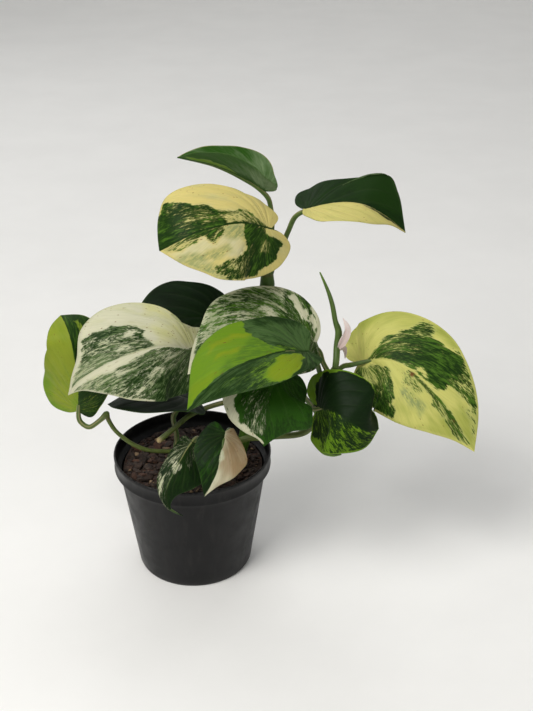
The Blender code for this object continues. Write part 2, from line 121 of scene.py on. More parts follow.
# The petiole, the two ridges beside its channel, and the keel that it runs into under the blade: its
# radius at shares of the midrib, and how many radii it hangs below. ROUTE_STEPS is how finely a
# stalk's route is read between two of its points.
PETIOLE_RADIUS = 1.6
RIDGE_TURN = 0.72
RIDGE_WIDTH = 0.2
KEEL_STATIONS = ((0.10, 1.15), (0.25, 1.0), (0.42, 0.85), (0.60, 0.7), (0.78, 0.5), (0.95, 0.25))
KEEL_DROP = 1.0
ROUTE_STEPS = 60

# A stem's nodes: how much each swells and over what length, the ring below it with its depth, its
# distance and its width, and the brown on the ring with its strength, distance and width. A leaf
# belongs to the stem that its petiole starts within NODE_REACH of.
NODE_SWELL, NODE_LENGTH = 0.13, 2.6
RING_DEPTH, RING_BELOW, RING_WIDTH = 0.07, 3.2, 0.5
BROWN_SHARE, BROWN_BELOW, BROWN_WIDTH = 0.75, 3.0, 1.1
NODE_REACH = 6.0

# How green flesh scatters light, the same in every green skin
GREEN_FLESH = dict(Subsurface_Radius=(0.6, 1.0, 0.25), Subsurface_Scale=0.0012)

# Each stem's points from the soil up, and its radius at each
VINES = {
    "vine_main": (
        [(28, 4, 60), (31, 4, 78), (36, 4, 97), (43, 5, 135), (47, 7, 170), (49, 9, 196), (50, 9, 201),
         (50, 10, 207), (51, 11, 226)],
        [4.4, 4.4, 4.2, 4.0, 3.9, 4.0, 4.7, 4.0, 3.4],
    ),
    "vine_left": (
        [(4, 4, 62), (6, 2, 76), (4, -4, 86), (-3, -10, 90), (-12, -14, 92), (-27, -16, 94), (-38, -16, 99),
         (-48, -14, 107), (-53, -12, 115), (-54, -12, 121)],
        [1.5, 1.5, 1.5, 1.5, 1.4, 1.4, 1.4, 1.4, 1.5, 1.7],
    ),
    "vine_right": (
        [(16, -4, 62), (18, -6, 76), (22, -9, 90), (35, -12, 100), (53, -12, 102), (75, -14, 107),
         (84, -21, 130), (89, -26, 150), (92, -28, 162)],
        [2.2, 2.2, 2.1, 2.1, 2.1, 2.1, 2.2, 2.3, 2.2],
    ),
}

CUT_PETIOLE = [(41, 5, 117), (28, 1, 121), (14, -5, 121), (0, -12, 118), (-11, -18, 111), (-21, -22, 104)]
CUT_PETIOLE_RADII = [1.9, 1.7, 1.6, 1.6, 1.7, 1.9]

ROLLED_LEAF = [(92, -28, 161), (92.5, -26, 166), (93, -21, 173), (94, -18, 181), (92, -16, 188), (90, -14, 198),
               (87, -12, 207), (82, -10, 218)]
ROLLED_LEAF_RADII = [2.0, 2.0, 2.0, 2.1, 1.7, 1.5, 1.1, 0.45]

# The bracts' midribs and half widths. They face, slope and curl alike, and their outline is given as
# shares of the length and of the half width.
BRACTS = {
    "bract_upper": dict(midrib=[(93, -22, 171), (95, -23, 174), (98, -24, 181), (99, -24, 187), (96, -22, 193)],
                        width=2.6),
    "bract_lower": dict(midrib=[(93, -22, 170), (97, -17, 170), (99, -13, 165), (99, -12, 159)], width=1.6),
}
BRACT_FACE = (0.2, -0.9, 0.3)
BRACT_CURL = 60
BRACT_SLOPE = 10
BRACT_SEED = 90
BRACT_OUTLINE = ((0.12, 0.55), (0.45, 1.0), (0.8, 0.55))

# What a mark does to the leaf under it: how pale, how deep a green, how much of the second pale
# colour, how much grey-green veil and how brown. None leaves that as it was.
CHANNELS = ("pale", "deep", "tint", "veil", "brown")
TONES = {
    "pale": (1.5, 0.3, 0.0, 0.0, 0.0),
    "pale_specked": (0.95, 0.4, 0.0, 0.0, 0.0),
    "pale_flecked": (0.62, 0.4, 0.0, 0.1, 0.0),
    "flecked": (0.28, 0.4, 0.0, 0.1, 0.0),
    "streaked": (-0.04, 0.5, 0.0, 0.2, 0.0),
    "marbled": (-0.42, 0.55, 0.0, 0.2, 0.0),
    "green_flecked": (-0.72, 0.7, 0.0, 0.0, 0.0),
    "green": (-1.8, 0.5, 0.0, 0.0, 0.0),
    "bright_green": (-1.8, -0.2, 0.0, 0.0, 0.0),
    "deep_green": (-1.8, 1.3, 0.0, 0.0, 0.0),
    "veiled": (0.9, 0.3, 0.0, 0.8, 0.0),
    "clouded": (-0.40, 0.45, 0.0, 0.65, 0.0),
    "sage": (-0.05, -0.1, 0.0, 0.7, 0.0),
    "second": (1.5, 0.3, 1.0, 0.0, 0.0),
    "tinted": (None, None, 1.0, None, None),
    "half_tinted": (None, None, 0.5, None, None),
    "spot": (None, None, None, None, 1.0),
}
# A mark's outline that takes in the whole right half
RIGHT_HALF = [(-40, 0), (-40, -60), (150, -60), (150, 0)]

# A leaf's slot, the points of its petiole and its midrib from foot to tip, and the way its upper side
# faces. reach is the span over which the midrib's direction is read. Each half has its slope up from
# the face and its curl, both from base to tip, and its cut edge laid flat.
# colours: dark green, middle green, pale, second pale, veil. ground is the tone under all marks. A
# mark is a tone, the width of its soft edge and its outline; a margin is a tone, its half, where
# along the midrib it starts and ends, and its width; rib is the midrib's own tone.
# fleck: how far the streaks break up the pale. fineness: how fine they are. contrast and depth: of
# the greens. specks: share of brown specks. veins: how light the veins are. under: how pale the
# underside is.
LEAVES = {
    "leaf_top": dict(
        slot="leaf_green",
        petiole=[(51, 11, 221), (53, 15, 239), (52, 15, 251), (50, 13, 258)],
        midrib=[(49, 12, 262), (37, 14, 269), (18, 14, 278), (-4, 10, 284)], face=(0, 0, 1),
        left=dict(slope=(42, 42), curl=(-5, -5), edge=[(-4, 8), (-4, 18), (6, 24), (21, 24), (38, 18), (51, 9)]),
        right=dict(slope=(33, 35), curl=(10, 10),
                   edge=[(-5, 7), (1, 14), (13, 22), (24, 20), (34, 15), (44, 11), (53, 5)]),
        # Painted sheen: the silver green middle green stands for the satin reflection on the blade, and the deep
        # green marks leave the tip and a strip by the midrib darker.
        colours=("grass_green", "underside_and_sheen_green", "lime", "beige", "underside_and_sheen_green"),
        ground="green", fleck=5.0, contrast=1.4, depth=-0.1, under=0.12,
        marks=[
            ("deep_green", 20, [(20, 40), (70, 40), (70, -40), (24, -40)]),
            ("deep_green", 4, [(-6, 0), (26, 0), (20, 4), (-6, 4)]),
            ("pale_specked", 1.8, [(20, 1.6), (32, 1.0), (50, 1.0), (56, 3.0), (40, 5), (26, 4.4)]),
        ],
        margins=[("second", "right", 0, 60, 0.4)],
    ),
    "leaf_upper_left": dict(
        slot="leaf_cream",
        petiole=[(51, 10, 217), (54, 7, 226), (53, 1, 237)],
        midrib=[(52, -4, 244), (34, -15, 252), (10, -24, 250), (-4, -26, 244),
                (-14, -22, 237)], face=(0, -0.85, 0.5), reach=7.0,
        left=dict(slope=(0, 0), curl=(-10, -10),
                  edge=[(-11, 2), (-17, 7), (-13, 19), (0, 29), (30, 34), (48, 29), (62, 18), (71, 7)]),
        right=dict(slope=(0, -10), curl=(-15, -20),
                   edge=[(-5, 7), (8, 15), (20, 19), (33, 27), (44, 30), (55, 30), (66, 26), (73, 18), (76, 8)]),
        colours=("dark_green", "leaf_green", "cream", "ivory", "grey_green"),
        ground="pale", fleck=9.5, depth=0.45, rib="deep_green",
        marks=[
            ("half_tinted", 6, [(20, 2), (72, 2), (64, 20), (22, 20)]),
            ("veiled", 4, [(14, 0.5), (37, 0.5), (35, 7), (24, 10), (16, 9)]),
            ("veiled", 4, [(32, 12), (50, 13), (66, 8), (62, 16), (44, 19), (32, 16)]),
            ("veiled", 5, [(44, 22), (60, 16), (68, 9), (64, 20), (50, 29), (40, 32)]),
            ("green_flecked", 2.0, [(-11, 6), (-10, 10), (-7, 15), (-6, 20), (-2, 24.5), (3, 28.5), (10, 31.5),
                                    (20, 33), (30, 33.5), (38, 33), (42, 29), (46, 25.5), (44, 22), (33, 20.5),
                                    (24, 19.5), (19, 16), (20, 9.5), (20, 0.5), (0, 0), (-4, 1.5), (-9, 4)]),
            ("green", 6, [(-9, 5), (-6, 20), (4, 28), (14, 31), (10, 20), (10, 4)]),
            ("marbled", 4, [(-3, 8), (6, 8), (6, 16), (-2, 16)]),
            ("green", 4, [(10, 1), (20, 1), (19, 12), (11, 12)]),
            ("marbled", 3, [(26, 20), (46, 22), (44, 28), (32, 27)]),
            ("green_flecked", 1.6, [(31, 0.5), (36, 6), (40, 9.5), (44, 9), (45.5, 5), (51, 0.5)]),
            ("streaked", 2.5, [(45, 0.3), (74, 0.3), (72, 4), (60, 6.5), (50, 5)]),
            ("green_flecked", 2.0, [(1, -0.3), (8, -2.6), (15, -6), (20, -8.6), (24, -8), (31, -8), (35, -11),
                                    (40, -15), (47, -18), (52, -21), (58, -25), (66, -26.5), (71, -24), (75, -16),
                                    (78, 0)]),
            ("marbled", 2, [(7, -0.8), (31, -0.8), (30, -7), (22, -9), (12, -4)]),
            ("streaked", 2, [(20, -0.8), (31, -0.8), (31, -7), (23, -7)]),
            ("marbled", 4, [(38, -5), (56, -7), (54, -18), (42, -14)]),
            ("green", 4, [(62, -1), (77, -1), (73, -20), (64, -20)]),
        ],
        margins=[("pale", "left", -20, 4, 4.6), ("pale", "left", 44, 66, 1.0), ("pale", "right", 40, 70, 1.6)],
    ),
    "leaf_upper_right": dict(
        slot="leaf_dark_green",
        petiole=[(51, 10, 211), (58, 14, 222), (63, 12, 236), (68, 8, 248)],
        midrib=[(72, 5, 253), (91, 0, 259), (107, -6, 260), (121, -8, 253), (133, -8, 243)], face=(0, 0, 1),
        left=dict(slope=(10, 55), curl=(10, 10),
                  edge=[(-7, 9), (-7, 21), (4, 24), (23, 20), (37, 21), (45, 25), (53, 18), (62, 8)]),
        right=dict(slope=(0, -5), curl=(0, 0), edge=[(1, 7), (8, 19), (17, 28), (29, 31), (42, 24), (56, 9)]),
        colours=("black_green", "dark_green", "cream", "lemon", "grey_green"),
        ground="green", fleck=9.0, contrast=3.0, veins=0.04,
        marks=[
            ("bright_green", 12, [(24, 8), (64, 6), (60, 24), (24, 24)]),
            ("pale", 1.0, RIGHT_HALF),
            ("tinted", 12, [(-2, -0.5), (16, -0.5), (14, -30), (-2, -20)]),
            ("half_tinted", 8, [(0, -0.5), (60, -0.5), (40, -34), (0, -30)]),
            ("marbled", 1.6, [(34, -0.2), (42, -2.8), (55, -3.8), (69, -0.2)]),
        ],
    ),
    "leaf_left": dict(
        slot="leaf_white_green",
        petiole=[(43, 5, 131), (29, 4, 137), (16, 0, 151), (9, -5, 161)],
        midrib=[(6, -8, 164), (-16, -24, 174), (-43, -36, 170), (-63, -34, 157),
                (-75, -26, 141)], face=(0, -0.85, 0.5),
        left=dict(slope=(0, 0), curl=(-15, -15),
                  edge=[(-6, 10), (-5, 22), (5, 29), (38, 33), (60, 25), (75, 15), (91, 5)]),
        right=dict(slope=(0, 0), curl=(-15, -15),
                   edge=[(-4, 7), (-4, 13), (6, 14), (18, 17), (32, 29), (44, 33), (57, 33), (71, 27), (82, 12)]),
        colours=("dark_green", "sage", "ivory", "lemon", "grey_green"),
        ground="green_flecked", fleck=9.5, contrast=8.0, depth=0.3, specks=0.5, rib="pale",
        marks=[
            ("clouded", 6, [(8, 2), (34, 2), (60, 4), (96, 2), (86, 12), (70, 19), (62, 26), (44, 27), (28, 20),
                            (12, 12)]),
            ("streaked", 2.5, [(16, 3), (29, 4), (30, 9), (20, 9)]),
            ("flecked", 2.5, [(28, 11), (40, 12.5), (42, 16), (31, 15)]),
            ("marbled", 3, [(46, 18), (64, 16), (62, 26), (48, 25)]),
            ("green", 4, [(14, 14), (28, 17), (40, 22), (36, 25), (20, 22)]),
            ("flecked", 2.5, [(47, 22), (54, 21), (55, 24), (48, 25)]),
            ("streaked", 3, [(52, 5), (76, 4), (72, 9), (54, 9)]),
            ("green_flecked", 3, [(42, 11), (54, 13), (60, 18), (46, 18)]),
            ("sage", 6, [(62, 4), (96, 2), (90, 8), (78, 14), (64, 14)]),
            ("green", 6, [(-8, 22), (20, 22), (44, 28), (40, 36), (-8, 32)]),
            ("pale", 1.5, [(32, 0), (45, 2.2), (60, 4.6), (72, 4), (82, 2.6), (106, 0)]),
            ("pale", 1.2, RIGHT_HALF),
            ("half_tinted", 8, [(0, -1), (30, -3), (32, -14), (2, -15)]),
            ("half_tinted", 6, [(12, -12), (32, -22), (34, -33), (12, -24)]),
            ("clouded", 1.6, [(31.5, -0.8), (34, -4), (37, -8), (36, -12), (40, -15.5), (45, -18.5), (52, -20.5),
                              (60, -20.8), (68, -22), (72, -21), (76, -15), (80, -9.5), (84, -6), (92, -3),
                              (98, -0.8)]),
            ("green_flecked", 2.5, [(33, -2), (37, -8), (36, -12), (40, -15.5), (45, -18.8), (52, -20.5), (60, -20.8),
                                    (68, -22), (73, -20), (76, -15), (70, -14), (56, -15), (48, -16), (42, -9),
                                    (40, -2)]),
            ("sage", 4, [(60, -1.5), (92, -1.5), (80, -8), (62, -7)]),
            ("pale_flecked", 1.5, [(40, -11), (48, -11.5), (48, -15), (41, -14.5)]),
            ("flecked", 3, [(46, -3), (56, -4), (55, -8), (47, -7)]),
            ("streaked", 3, [(60, -9), (72, -10), (70, -14), (60, -13)]),
        ],
        margins=[("pale", "left", 44, 106, 0.7), ("pale", "right", 40, 106, 1.6)],
    ),
    "leaf_far_left": dict(
        slot="leaf_lime",
        petiole=[(-54, -12, 119), (-59, -10, 113), (-66, -8, 107), (-71, -7, 109), (-73, -7, 114)],
        midrib=[(-73, -8, 119), (-70, -16, 143), (-71, -18, 169), (-75, -10, 180),
                (-81, 4, 182)], face=(-0.1, -0.9, 0.35), reach=7.0,
        left=dict(slope=(-15, -16, -8, 34), curl=(-10, -10),
                  edge=[(-7, 8), (-10, 21), (1, 28), (27, 26), (43, 21.8), (54, 18), (66, 14.4), (76, 8.8)]),
        right=dict(slope=(-10, -30), curl=(-20, -20),
                   edge=[(-5, 8), (7, 15), (17, 19), (30, 28), (50, 27), (66, 18), (76, 9)]),
        colours=("dark_green", "leaf_green", "yellow_green", "lime", "grass_green"),
        ground="pale", fleck=9.0, contrast=4.0, depth=0.5,
        marks=[
            ("tinted", 44, [(-24, -10), (18, -10), (22, 40), (-24, 40)]),
            ("pale_specked", 10, [(-4, 3), (34, 3), (34, 20), (-4, 22)]),
            ("green", 1.0, RIGHT_HALF),
            ("green_flecked", 3, [(0, -2), (18, -3), (16, -14), (0, -12)]),
            ("streaked", 1.6, [(58, -6), (70, -6), (72, -9), (60, -9.5)]),
            ("streaked", 1.6, [(46, -6), (52, -6), (54, -9), (47, -9.5)]),
        ],
        margins=[("pale", "right", 0, 80, 0.5)],
    ),
    "leaf_behind": dict(
        slot="leaf_dark_green",
        petiole=[(46, 7, 158), (39, 16, 160), (30, 25, 161)],
        midrib=[(23, 28, 163), (6, 20, 173), (-16, 12, 172), (-40, 10, 159)], face=(0, -0.7, 0.7),
        left=dict(slope=(0, 0), curl=(-10, -10), edge=[(-5, 10), (-5, 20), (8, 26), (24, 26), (42, 20)]),
        right=dict(slope=(0, 0), curl=(-15, -15),
                   edge=[(-5, 9), (-2, 18), (12, 23), (23, 26), (32, 29), (44, 27), (53, 21)]),
        # Painted shade: these near-black greens stand for the deep shadow the leaf lies in behind the others.
        colours=("deep_shade", "black_green", "dark_green", "sage", "dark_green"),
        ground="green", fleck=4.0, contrast=3.0, veins=0.03,
        marks=[
            ("green_flecked", 6, [(10, -4), (40, -4), (40, -22), (12, -20)]),
        ],
        margins=[("pale", "left", -5, 70, 0.4), ("pale", "right", -5, 70, 0.4)],
    ),
    "leaf_shaded": dict(
        slot="leaf_dark_green",
        petiole=[(-10, -13, 92), (-9, -12, 102), (-10, -9, 107), (-11, -6, 114), (-5, -3, 122)],
        midrib=[(0, -4, 126), (-16, -12, 134), (-35, -14, 134), (-53, -10, 125)], face=(0, 0, 1),
        left=dict(slope=(0, 0), curl=(-10, -10), edge=[(-5, 8), (-3, 18), (18, 22), (32, 22), (45, 15)]),
        right=dict(slope=(0, 0), curl=(-10, -10), edge=[(-5, 8), (-3, 19), (10, 24), (26, 22), (42, 13)]),
        # Painted shade: these near-black greens stand for the deep shadow the leaf lies in under the left leaf.
        colours=("deep_shade", "black_green", "dark_green", "sage", "dark_green"),
        ground="green", fleck=4.0, contrast=3.0, veins=0.03,
        marks=[
            ("green_flecked", 6, [(10, 4), (40, 4), (36, 16), (12, 18)]),
        ],
        margins=[("pale", "left", -5, 70, 0.4), ("pale", "right", -5, 70, 0.4)],
    ),
    "leaf_centre_back": dict(
        slot="leaf_white_green",
        petiole=[(90, -26, 153), (85, -19, 160), (82, -13, 166)],
        midrib=[(81, -12, 171), (52, -20, 178), (27, -28, 175), (1, -34, 160)], face=(0, -0.85, 0.53),
        left=dict(slope=(0, 0), curl=(-15, -15), edge=[(-3, 8), (-2, 15), (8, 21), (24, 22), (44, 18), (64, 10)]),
        right=dict(slope=(0, 0), curl=(-15, -15),
                   edge=[(-2, 6), (-1, 15), (10, 27), (22, 32), (33, 34), (44, 34), (56, 31), (66, 21), (78, 11)]),
        colours=("dark_green", "leaf_green", "ivory", "beige", "grey_green"),
        ground="marbled", fleck=9.5, fineness=1.15, depth=0.12,
        marks=[
            ("green_flecked", 4, [(-4, -4), (24, -10), (24, -34), (-4, -26)]),
            ("pale_specked", 1.4, [(1, -6), (4, -9), (6, -16), (3, -17), (1, -12)]),
            ("pale_specked", 1.4, [(6, -11), (9, -13), (12, -19), (9, -19)]),
            ("pale_specked", 1.4, [(11, -13), (15, -19), (20, -26), (17, -29), (13, -24), (9, -18)]),
            ("clouded", 3, [(24, -11), (62, -11), (60, -30), (24, -34)]),
            ("flecked", 2, [(26, -13), (32, -13), (36, -20), (31, -20)]),
            ("streaked", 3, [(40, -13), (60, -13), (58, -20), (42, -20)]),
            ("streaked", 2, [(22, -26), (30, -27), (31, -32), (23, -32)]),
            ("sage", 4, [(54, -14), (68, -10), (63, -24), (54, -28)]),
            ("streaked", 4, [(20, 4), (50, 4), (46, 14), (22, 14)]),
        ],
        margins=[("pale", "right", -6, 5, 2.4), ("tinted", "right", 18, 58, 1.2), ("flecked", "right", 14, 58, 1.2),
                 ("streaked", "right", 56, 74, 1.6), ("pale", "right", 72, 100, 1.6), ("pale", "left", 10, 100, 0.8)],
    ),
    "leaf_centre_front": dict(
        slot="leaf_lime",
        petiole=[(88, -25, 146), (83, -23, 155), (79, -31, 168)],
        midrib=[(75, -42, 180), (55, -54, 185), (27, -68, 179), (3, -74, 157)], face=(0, -0.28, 0.96),
        left=dict(slope=(9, 5), curl=(0, 0),
                  edge=[(-4, 8), (7, 18), (24, 25), (39, 26), (52, 22), (66, 13), (79, 5)]),
        right=dict(slope=(8, 8), curl=(0, 0),
                   edge=[(-5, 8), (-9, 16), (-5, 25), (8, 29), (23, 29), (42, 31), (56, 28), (69, 22), (80, 11)]),
        colours=("dark_green", "blue_green", "lime", "olive", "leaf_green"),
        ground="green", fleck=7.5, contrast=3.5, depth=0.3, rib="deep_green",
        marks=[
            ("green_flecked", 8, [(14, 1), (60, 2), (70, 8), (54, 24), (40, 27), (28, 10)]),
            ("marbled", 4, [(20, 1), (42, 3), (48, 12), (50, 24), (40, 27), (30, 10)]),
            ("pale", 3.0, [(8, 3), (22, 3.5), (28, 7), (32, 10), (37, 14), (41, 18), (39, 23), (36, 26.5), (28, 26),
                           (20, 21), (14, 14), (9, 8)]),
            ("tinted", 6, [(6, 3), (24, 4), (38, 15), (38, 26), (18, 22)]),
            ("pale", 2.6, [(18, -0.8), (100, -0.8), (100, -40), (18, -40)]),
            ("tinted", 2.4, [(34, -8), (44, -10), (58, -13), (56, -15), (44, -13)]),
            ("tinted", 2.4, [(30, -16), (40, -19), (50, -20), (60, -19), (54, -23), (40, -23), (30, -20)]),
            ("veiled", 5, [(16, -1), (66, -1), (58, -6), (44, -9), (36, -14), (30, -20), (22, -14)]),
            ("half_tinted", 5, [(60, -2), (84, -2), (80, -10), (60, -8)]),
            ("green", 1.2, [(26, 0.3), (85, 0.3), (82, -2.4), (60, -1.9), (40, -1.2)]),
            ("bright_green", 3.2, [(-12, -12), (-1, -0.8), (8, -0.8), (20, -4), (26, -9), (31, -17), (33, -24),
                                   (31, -30), (15, -32), (0, -32), (-12, -26)]),
            ("bright_green", 6, [(-2, -4), (14, -3), (24, -12), (28, -20), (10, -20), (-2, -14)]),
            ("green", 6, [(-8, -22), (24, -24), (26, -32), (-8, -32)]),
            ("streaked", 3, [(4, -0.8), (22, -1), (28, -6), (10, -4)]),
        ],
    ),
    "leaf_low_centre": dict(
        slot="leaf_green",
        petiole=[(82, -20, 125), (72, -27, 142), (65, -35, 158)],
        midrib=[(62, -38, 164), (53, -52, 161), (49, -64, 149), (48, -66, 128)], face=(0, -0.75, 0.65),
        left=dict(slope=(0, 0), curl=(-15, -15),
                  edge=[(-4, 8), (0, 16), (10, 22), (30, 28), (44, 27), (46, 17), (51, 6)]),
        right=dict(slope=(0, 0), curl=(-15, -15),
                   edge=[(-4, 8), (0, 18), (12, 26), (22, 28), (30, 27), (39, 22), (47, 12), (51, 4)]),
        colours=("dark_green", "grass_green", "ivory", "beige", "grey_green"),
        ground="green", fleck=8.0, fineness=1.5, contrast=4.0,
        marks=[
            ("bright_green", 8, [(18, 2), (34, 2), (34, 24), (18, 22)]),
            ("bright_green", 5, RIGHT_HALF),
            ("green_flecked", 3, [(18, 1), (49, 1), (46, -12), (24, -17)]),
            ("marbled", 3, [(26, 0), (49, -0.5), (46, -7), (28, -6)]),
            ("pale", 2.6, [(24, -19), (33, -19.5), (40, -15), (46, -9), (52, -1), (49, -7), (42, -18), (35, -23),
                           (28, -28), (20, -27)]),
        ],
        margins=[("pale", "right", 26, 54, 1.4)],
    ),
    "leaf_curled": dict(
        slot="leaf_dark_green",
        petiole=[(86, -23, 135), (82, -30, 139), (79, -38, 138)],
        midrib=[(81, -42, 141), (90, -56, 147), (100, -64, 144), (110, -62, 137),
                (118, -52, 132)], face=(0, -0.9, 0.4),
        left=dict(slope=(0, -5), curl=(-30, -40),
                  edge=[(-9, 4), (-14, 9), (-11, 18), (-2, 22), (12, 25), (22, 27), (38, 24), (50, 17), (57, 8)]),
        right=dict(slope=(-5, -5), curl=(-30, -30),
                   edge=[(-6, 6), (-12, 16), (-18, 24), (-13, 32), (0, 33), (20, 28), (37, 22), (46, 13), (53, 4)]),
        # Its near-black greens are partly its own dark colour and partly painted shade, as it lies under the leaves
        # above.
        colours=("black_green", "dark_green", "lime", "grass_green", "lime"),
        ground="deep_green", fleck=9.5, contrast=4.0, veins=0.02,
        marks=[
            ("pale", 1.4, [(-14, 7), (-14, 13), (-10, 19), (-2, 22), (7, 24.5), (14, 26.5), (13, 23.5), (6, 22),
                           (0, 20), (-3, 15), (-3, 9), (0, 2), (-6, 1)]),
            ("marbled", 2, RIGHT_HALF),
            ("green_flecked", 3, [(-12, -7), (-1, -7), (-1, -19), (-12, -20)]),
            ("pale_flecked", 3, [(-21, -20), (-4, -21), (-6, -33), (-21, -33)]),
            ("streaked", 3, [(18, -15), (44, -12), (38, -24), (20, -29)]),
            ("green_flecked", 3, [(2, -12), (14, -10), (16, -22), (4, -24)]),
            ("marbled", 3, [(26, -2), (50, -2), (44, -10), (28, -10)]),
            ("half_tinted", 6, [(4, -4), (60, -2), (50, -36), (10, -36)]),
        ],
        margins=[("pale", "left", 12, 60, 0.7), ("pale", "right", -20, 60, 0.8)],
    ),
    "leaf_right": dict(
        slot="leaf_cream",
        petiole=[(91, -28, 157), (97, -20, 158), (103, -12, 155)],
        midrib=[(108, -8, 154), (127, -20, 162), (151, -34, 148), (180, -42, 109)], face=(-0.05, -0.87, 0.5),
        left=dict(slope=(0, 0), curl=(-12, -12),
                  edge=[(-9, 5), (-8, 15), (1, 24), (12, 27), (24, 33), (42, 34), (61, 28), (81, 19)]),
        right=dict(slope=(0, 0), curl=(-15, -15),
                   edge=[(-6, 10), (-4, 22), (6, 31), (30, 33), (63, 26), (78, 16), (92, 6)]),
        colours=("dark_green", "leaf_green", "lemon", "yellow_green", "grey_green"),
        ground="pale", fleck=9.5, depth=0.15,
        marks=[
            ("half_tinted", 14, [(66, -34), (120, -34), (120, 30), (80, 30)]),
            ("half_tinted", 8, [(-12, 14), (10, 20), (40, 30), (70, 24), (60, 36), (-10, 36)]),
            ("marbled", 3, [(58, 11), (70, 12), (80, 14), (86, 12), (82, 18), (72, 22), (62, 26), (56, 28),
                            (58, 20)]),
            ("streaked", 4, [(78, 10), (92, 7), (102, 1), (96, 8), (80, 18)]),
            ("green_flecked", 1.8, [(4, 0.6), (10, 3), (16, 8), (17, 11.5), (21, 16), (24, 20), (28, 28), (31, 32),
                                    (34, 33), (36, 29), (36, 26), (42, 26), (48, 28), (50, 31), (53, 30), (57, 27.5),
                                    (62, 25.5), (63, 21.5), (59, 20), (56, 16), (58, 12.5), (61, 11), (60, 7),
                                    (54, 3), (40, 2.2), (25, 0.8)]),
            ("green", 8, [(34, 6), (58, 4), (58, 26), (40, 25)]),
            ("marbled", 3, [(12, 3), (18, 11), (25, 20), (30, 31), (35, 32), (30, 20), (22, 8)]),
            ("pale_flecked", 1.5, [(40, 4), (48, 4), (47, 7.5), (40, 7)]),
            ("marbled", 1.4, [(36, -1.2), (46, -2.6), (56, -1.8), (66, -2.0), (65, 1.4), (36, 1.0)]),
            ("marbled", 1.6, [(64, -2.8), (76, -3.2), (80, -4.5), (92, -4.5), (99, -1.5), (99, 1), (74, 2.4),
                              (62, 1)]),
            ("green_flecked", 2.2, [(-6, -8), (0, -3), (12, -2.6), (25, -4.6), (30, -8), (34, -13), (40, -17),
                                    (43, -21), (52, -26), (54, -30), (40, -34), (20, -36), (0, -34), (-8, -22)]),
            ("streaked", 3, [(0, -3), (12, -2.6), (13, -14), (4, -16)]),
            ("marbled", 4, [(12, -5), (28, -6), (32, -16), (14, -16)]),
            ("green", 6, [(20, -24), (50, -27), (44, -32), (22, -32)]),
            ("flecked", 3, [(34, -1), (52, -1.5), (52, -7), (38, -8)]),
            ("streaked", 2.4, [(40, -2.5), (52, -3), (54, -6), (44, -7)]),
            ("streaked", 2.4, [(60, -1.5), (76, -2), (74, -5), (62, -4.5)]),
            ("veiled", 4, [(40, -9), (62, -8), (64, -14), (44, -16)]),
            ("spot", 1.2, [(39, -1.4), (41.6, -1.2), (41.4, 1.2), (39, 1.2)]),
            ("spot", 0.8, [(79.4, 0), (80.6, 0), (80.6, 1), (79.4, 1)]),
        ],
        margins=[("pale", "right", 30, 110, 1.4), ("pale", "left", 20, 110, 0.7)],
    ),
    "leaf_drooping": dict(
        slot="leaf_dark_green",
        petiole=[(4, -4, 86), (8, -14, 98), (6, -26, 109), (4, -36, 114)],
        midrib=[(3, -40, 115), (-4, -54, 109), (-12, -64, 95), (-11, -66, 83), (-3, -64, 76)], face=(0.2, -0.9, 0.35),
        left=dict(slope=(-10, -15), curl=(-10, -10),
                  edge=[(-3, 9), (4, 18), (14, 22), (22, 20), (31, 14.6), (38, 9.2), (43, 4.6), (47, 2.0)]),
        right=dict(slope=(-40, -30), curl=(-20, -20),
                   edge=[(-3, 7), (6, 9), (20, 10), (31, 9), (40, 5), (45, 2.4), (48, 1.2)]),
        # Its near-black greens are partly its own dark colour and partly painted shade, as it hangs under the leaves
        # above.
        colours=("black_green", "dark_green", "ivory", "lime", "grey_green"),
        ground="green", fleck=8.5, fineness=1.3,
        marks=[
            ("green_flecked", 3, [(0, 1), (15, 1), (18, 8), (2, 9)]),
            ("green_flecked", 2, RIGHT_HALF),
            ("half_tinted", 4, [(-6, 8), (20, 8), (20, -10), (-6, -10)]),
            ("marbled", 2, [(6, -2), (20, -2), (20, -8), (8, -8)]),
            ("streaked", 2, [(17, 2), (20, 3), (26, 1), (23, -3), (18, -5), (17, -1)]),
            ("flecked", 1.6, [(28, -3.5), (41, -4), (40, -7.5), (29, -7.5)]),
            ("deep_green", 2, [(42, 0), (60, 0), (60, -8), (44, -6)]),
        ],
        margins=[("marbled", "right", 18, 50, 0.9)],
    ),
    "leaf_rim": dict(
        slot="leaf_green",
        petiole=[(22, -9, 90), (26, -20, 106), (26, -32, 119)],
        midrib=[(24, -42, 124), (21, -54, 113), (18, -60, 103), (11, -62, 89)], face=(0, -0.9, 0.35),
        left=dict(slope=(0, 0), curl=(-10, -10), edge=[(-3, 4), (1, 8), (9, 14), (17, 17), (24, 13), (33, 5)]),
        right=dict(slope=(0, 0), curl=(-20, -20), edge=[(-5, 8), (2, 14), (12, 17), (26, 13), (37, 6)]),
        # The blush tint and the deep greens are partly painted shade: the leaf hangs low under the others, and its
        # pale half is tinted darker towards the base than at the tip.
        colours=("black_green", "grass_green", "ivory", "blush_and_shade", "grey_green"),
        ground="pale", fleck=8.0, contrast=4.0, depth=0.5,
        marks=[
            ("half_tinted", 8, [(-4, 1), (50, 1), (50, 22), (-4, 20)]),
            ("tinted", 12, [(-4, 1), (22, 1), (32, 22), (-4, 20)]),
            ("green", 1.4, RIGHT_HALF),
            ("flecked", 1.6, [(12, -0.5), (20, -0.5), (18, 2.4), (13, 1.6)]),
        ],
    ),
}


def srgb(red, green, blue):
    """A display colour, 0 to 255, as the linear light that a shader takes."""
    shares = [part / 255 for part in (red, green, blue)]
    return tuple(s / 12.92 if s <= 0.04045 else ((s + 0.055) / 1.055) ** 2.4 for s in shares)


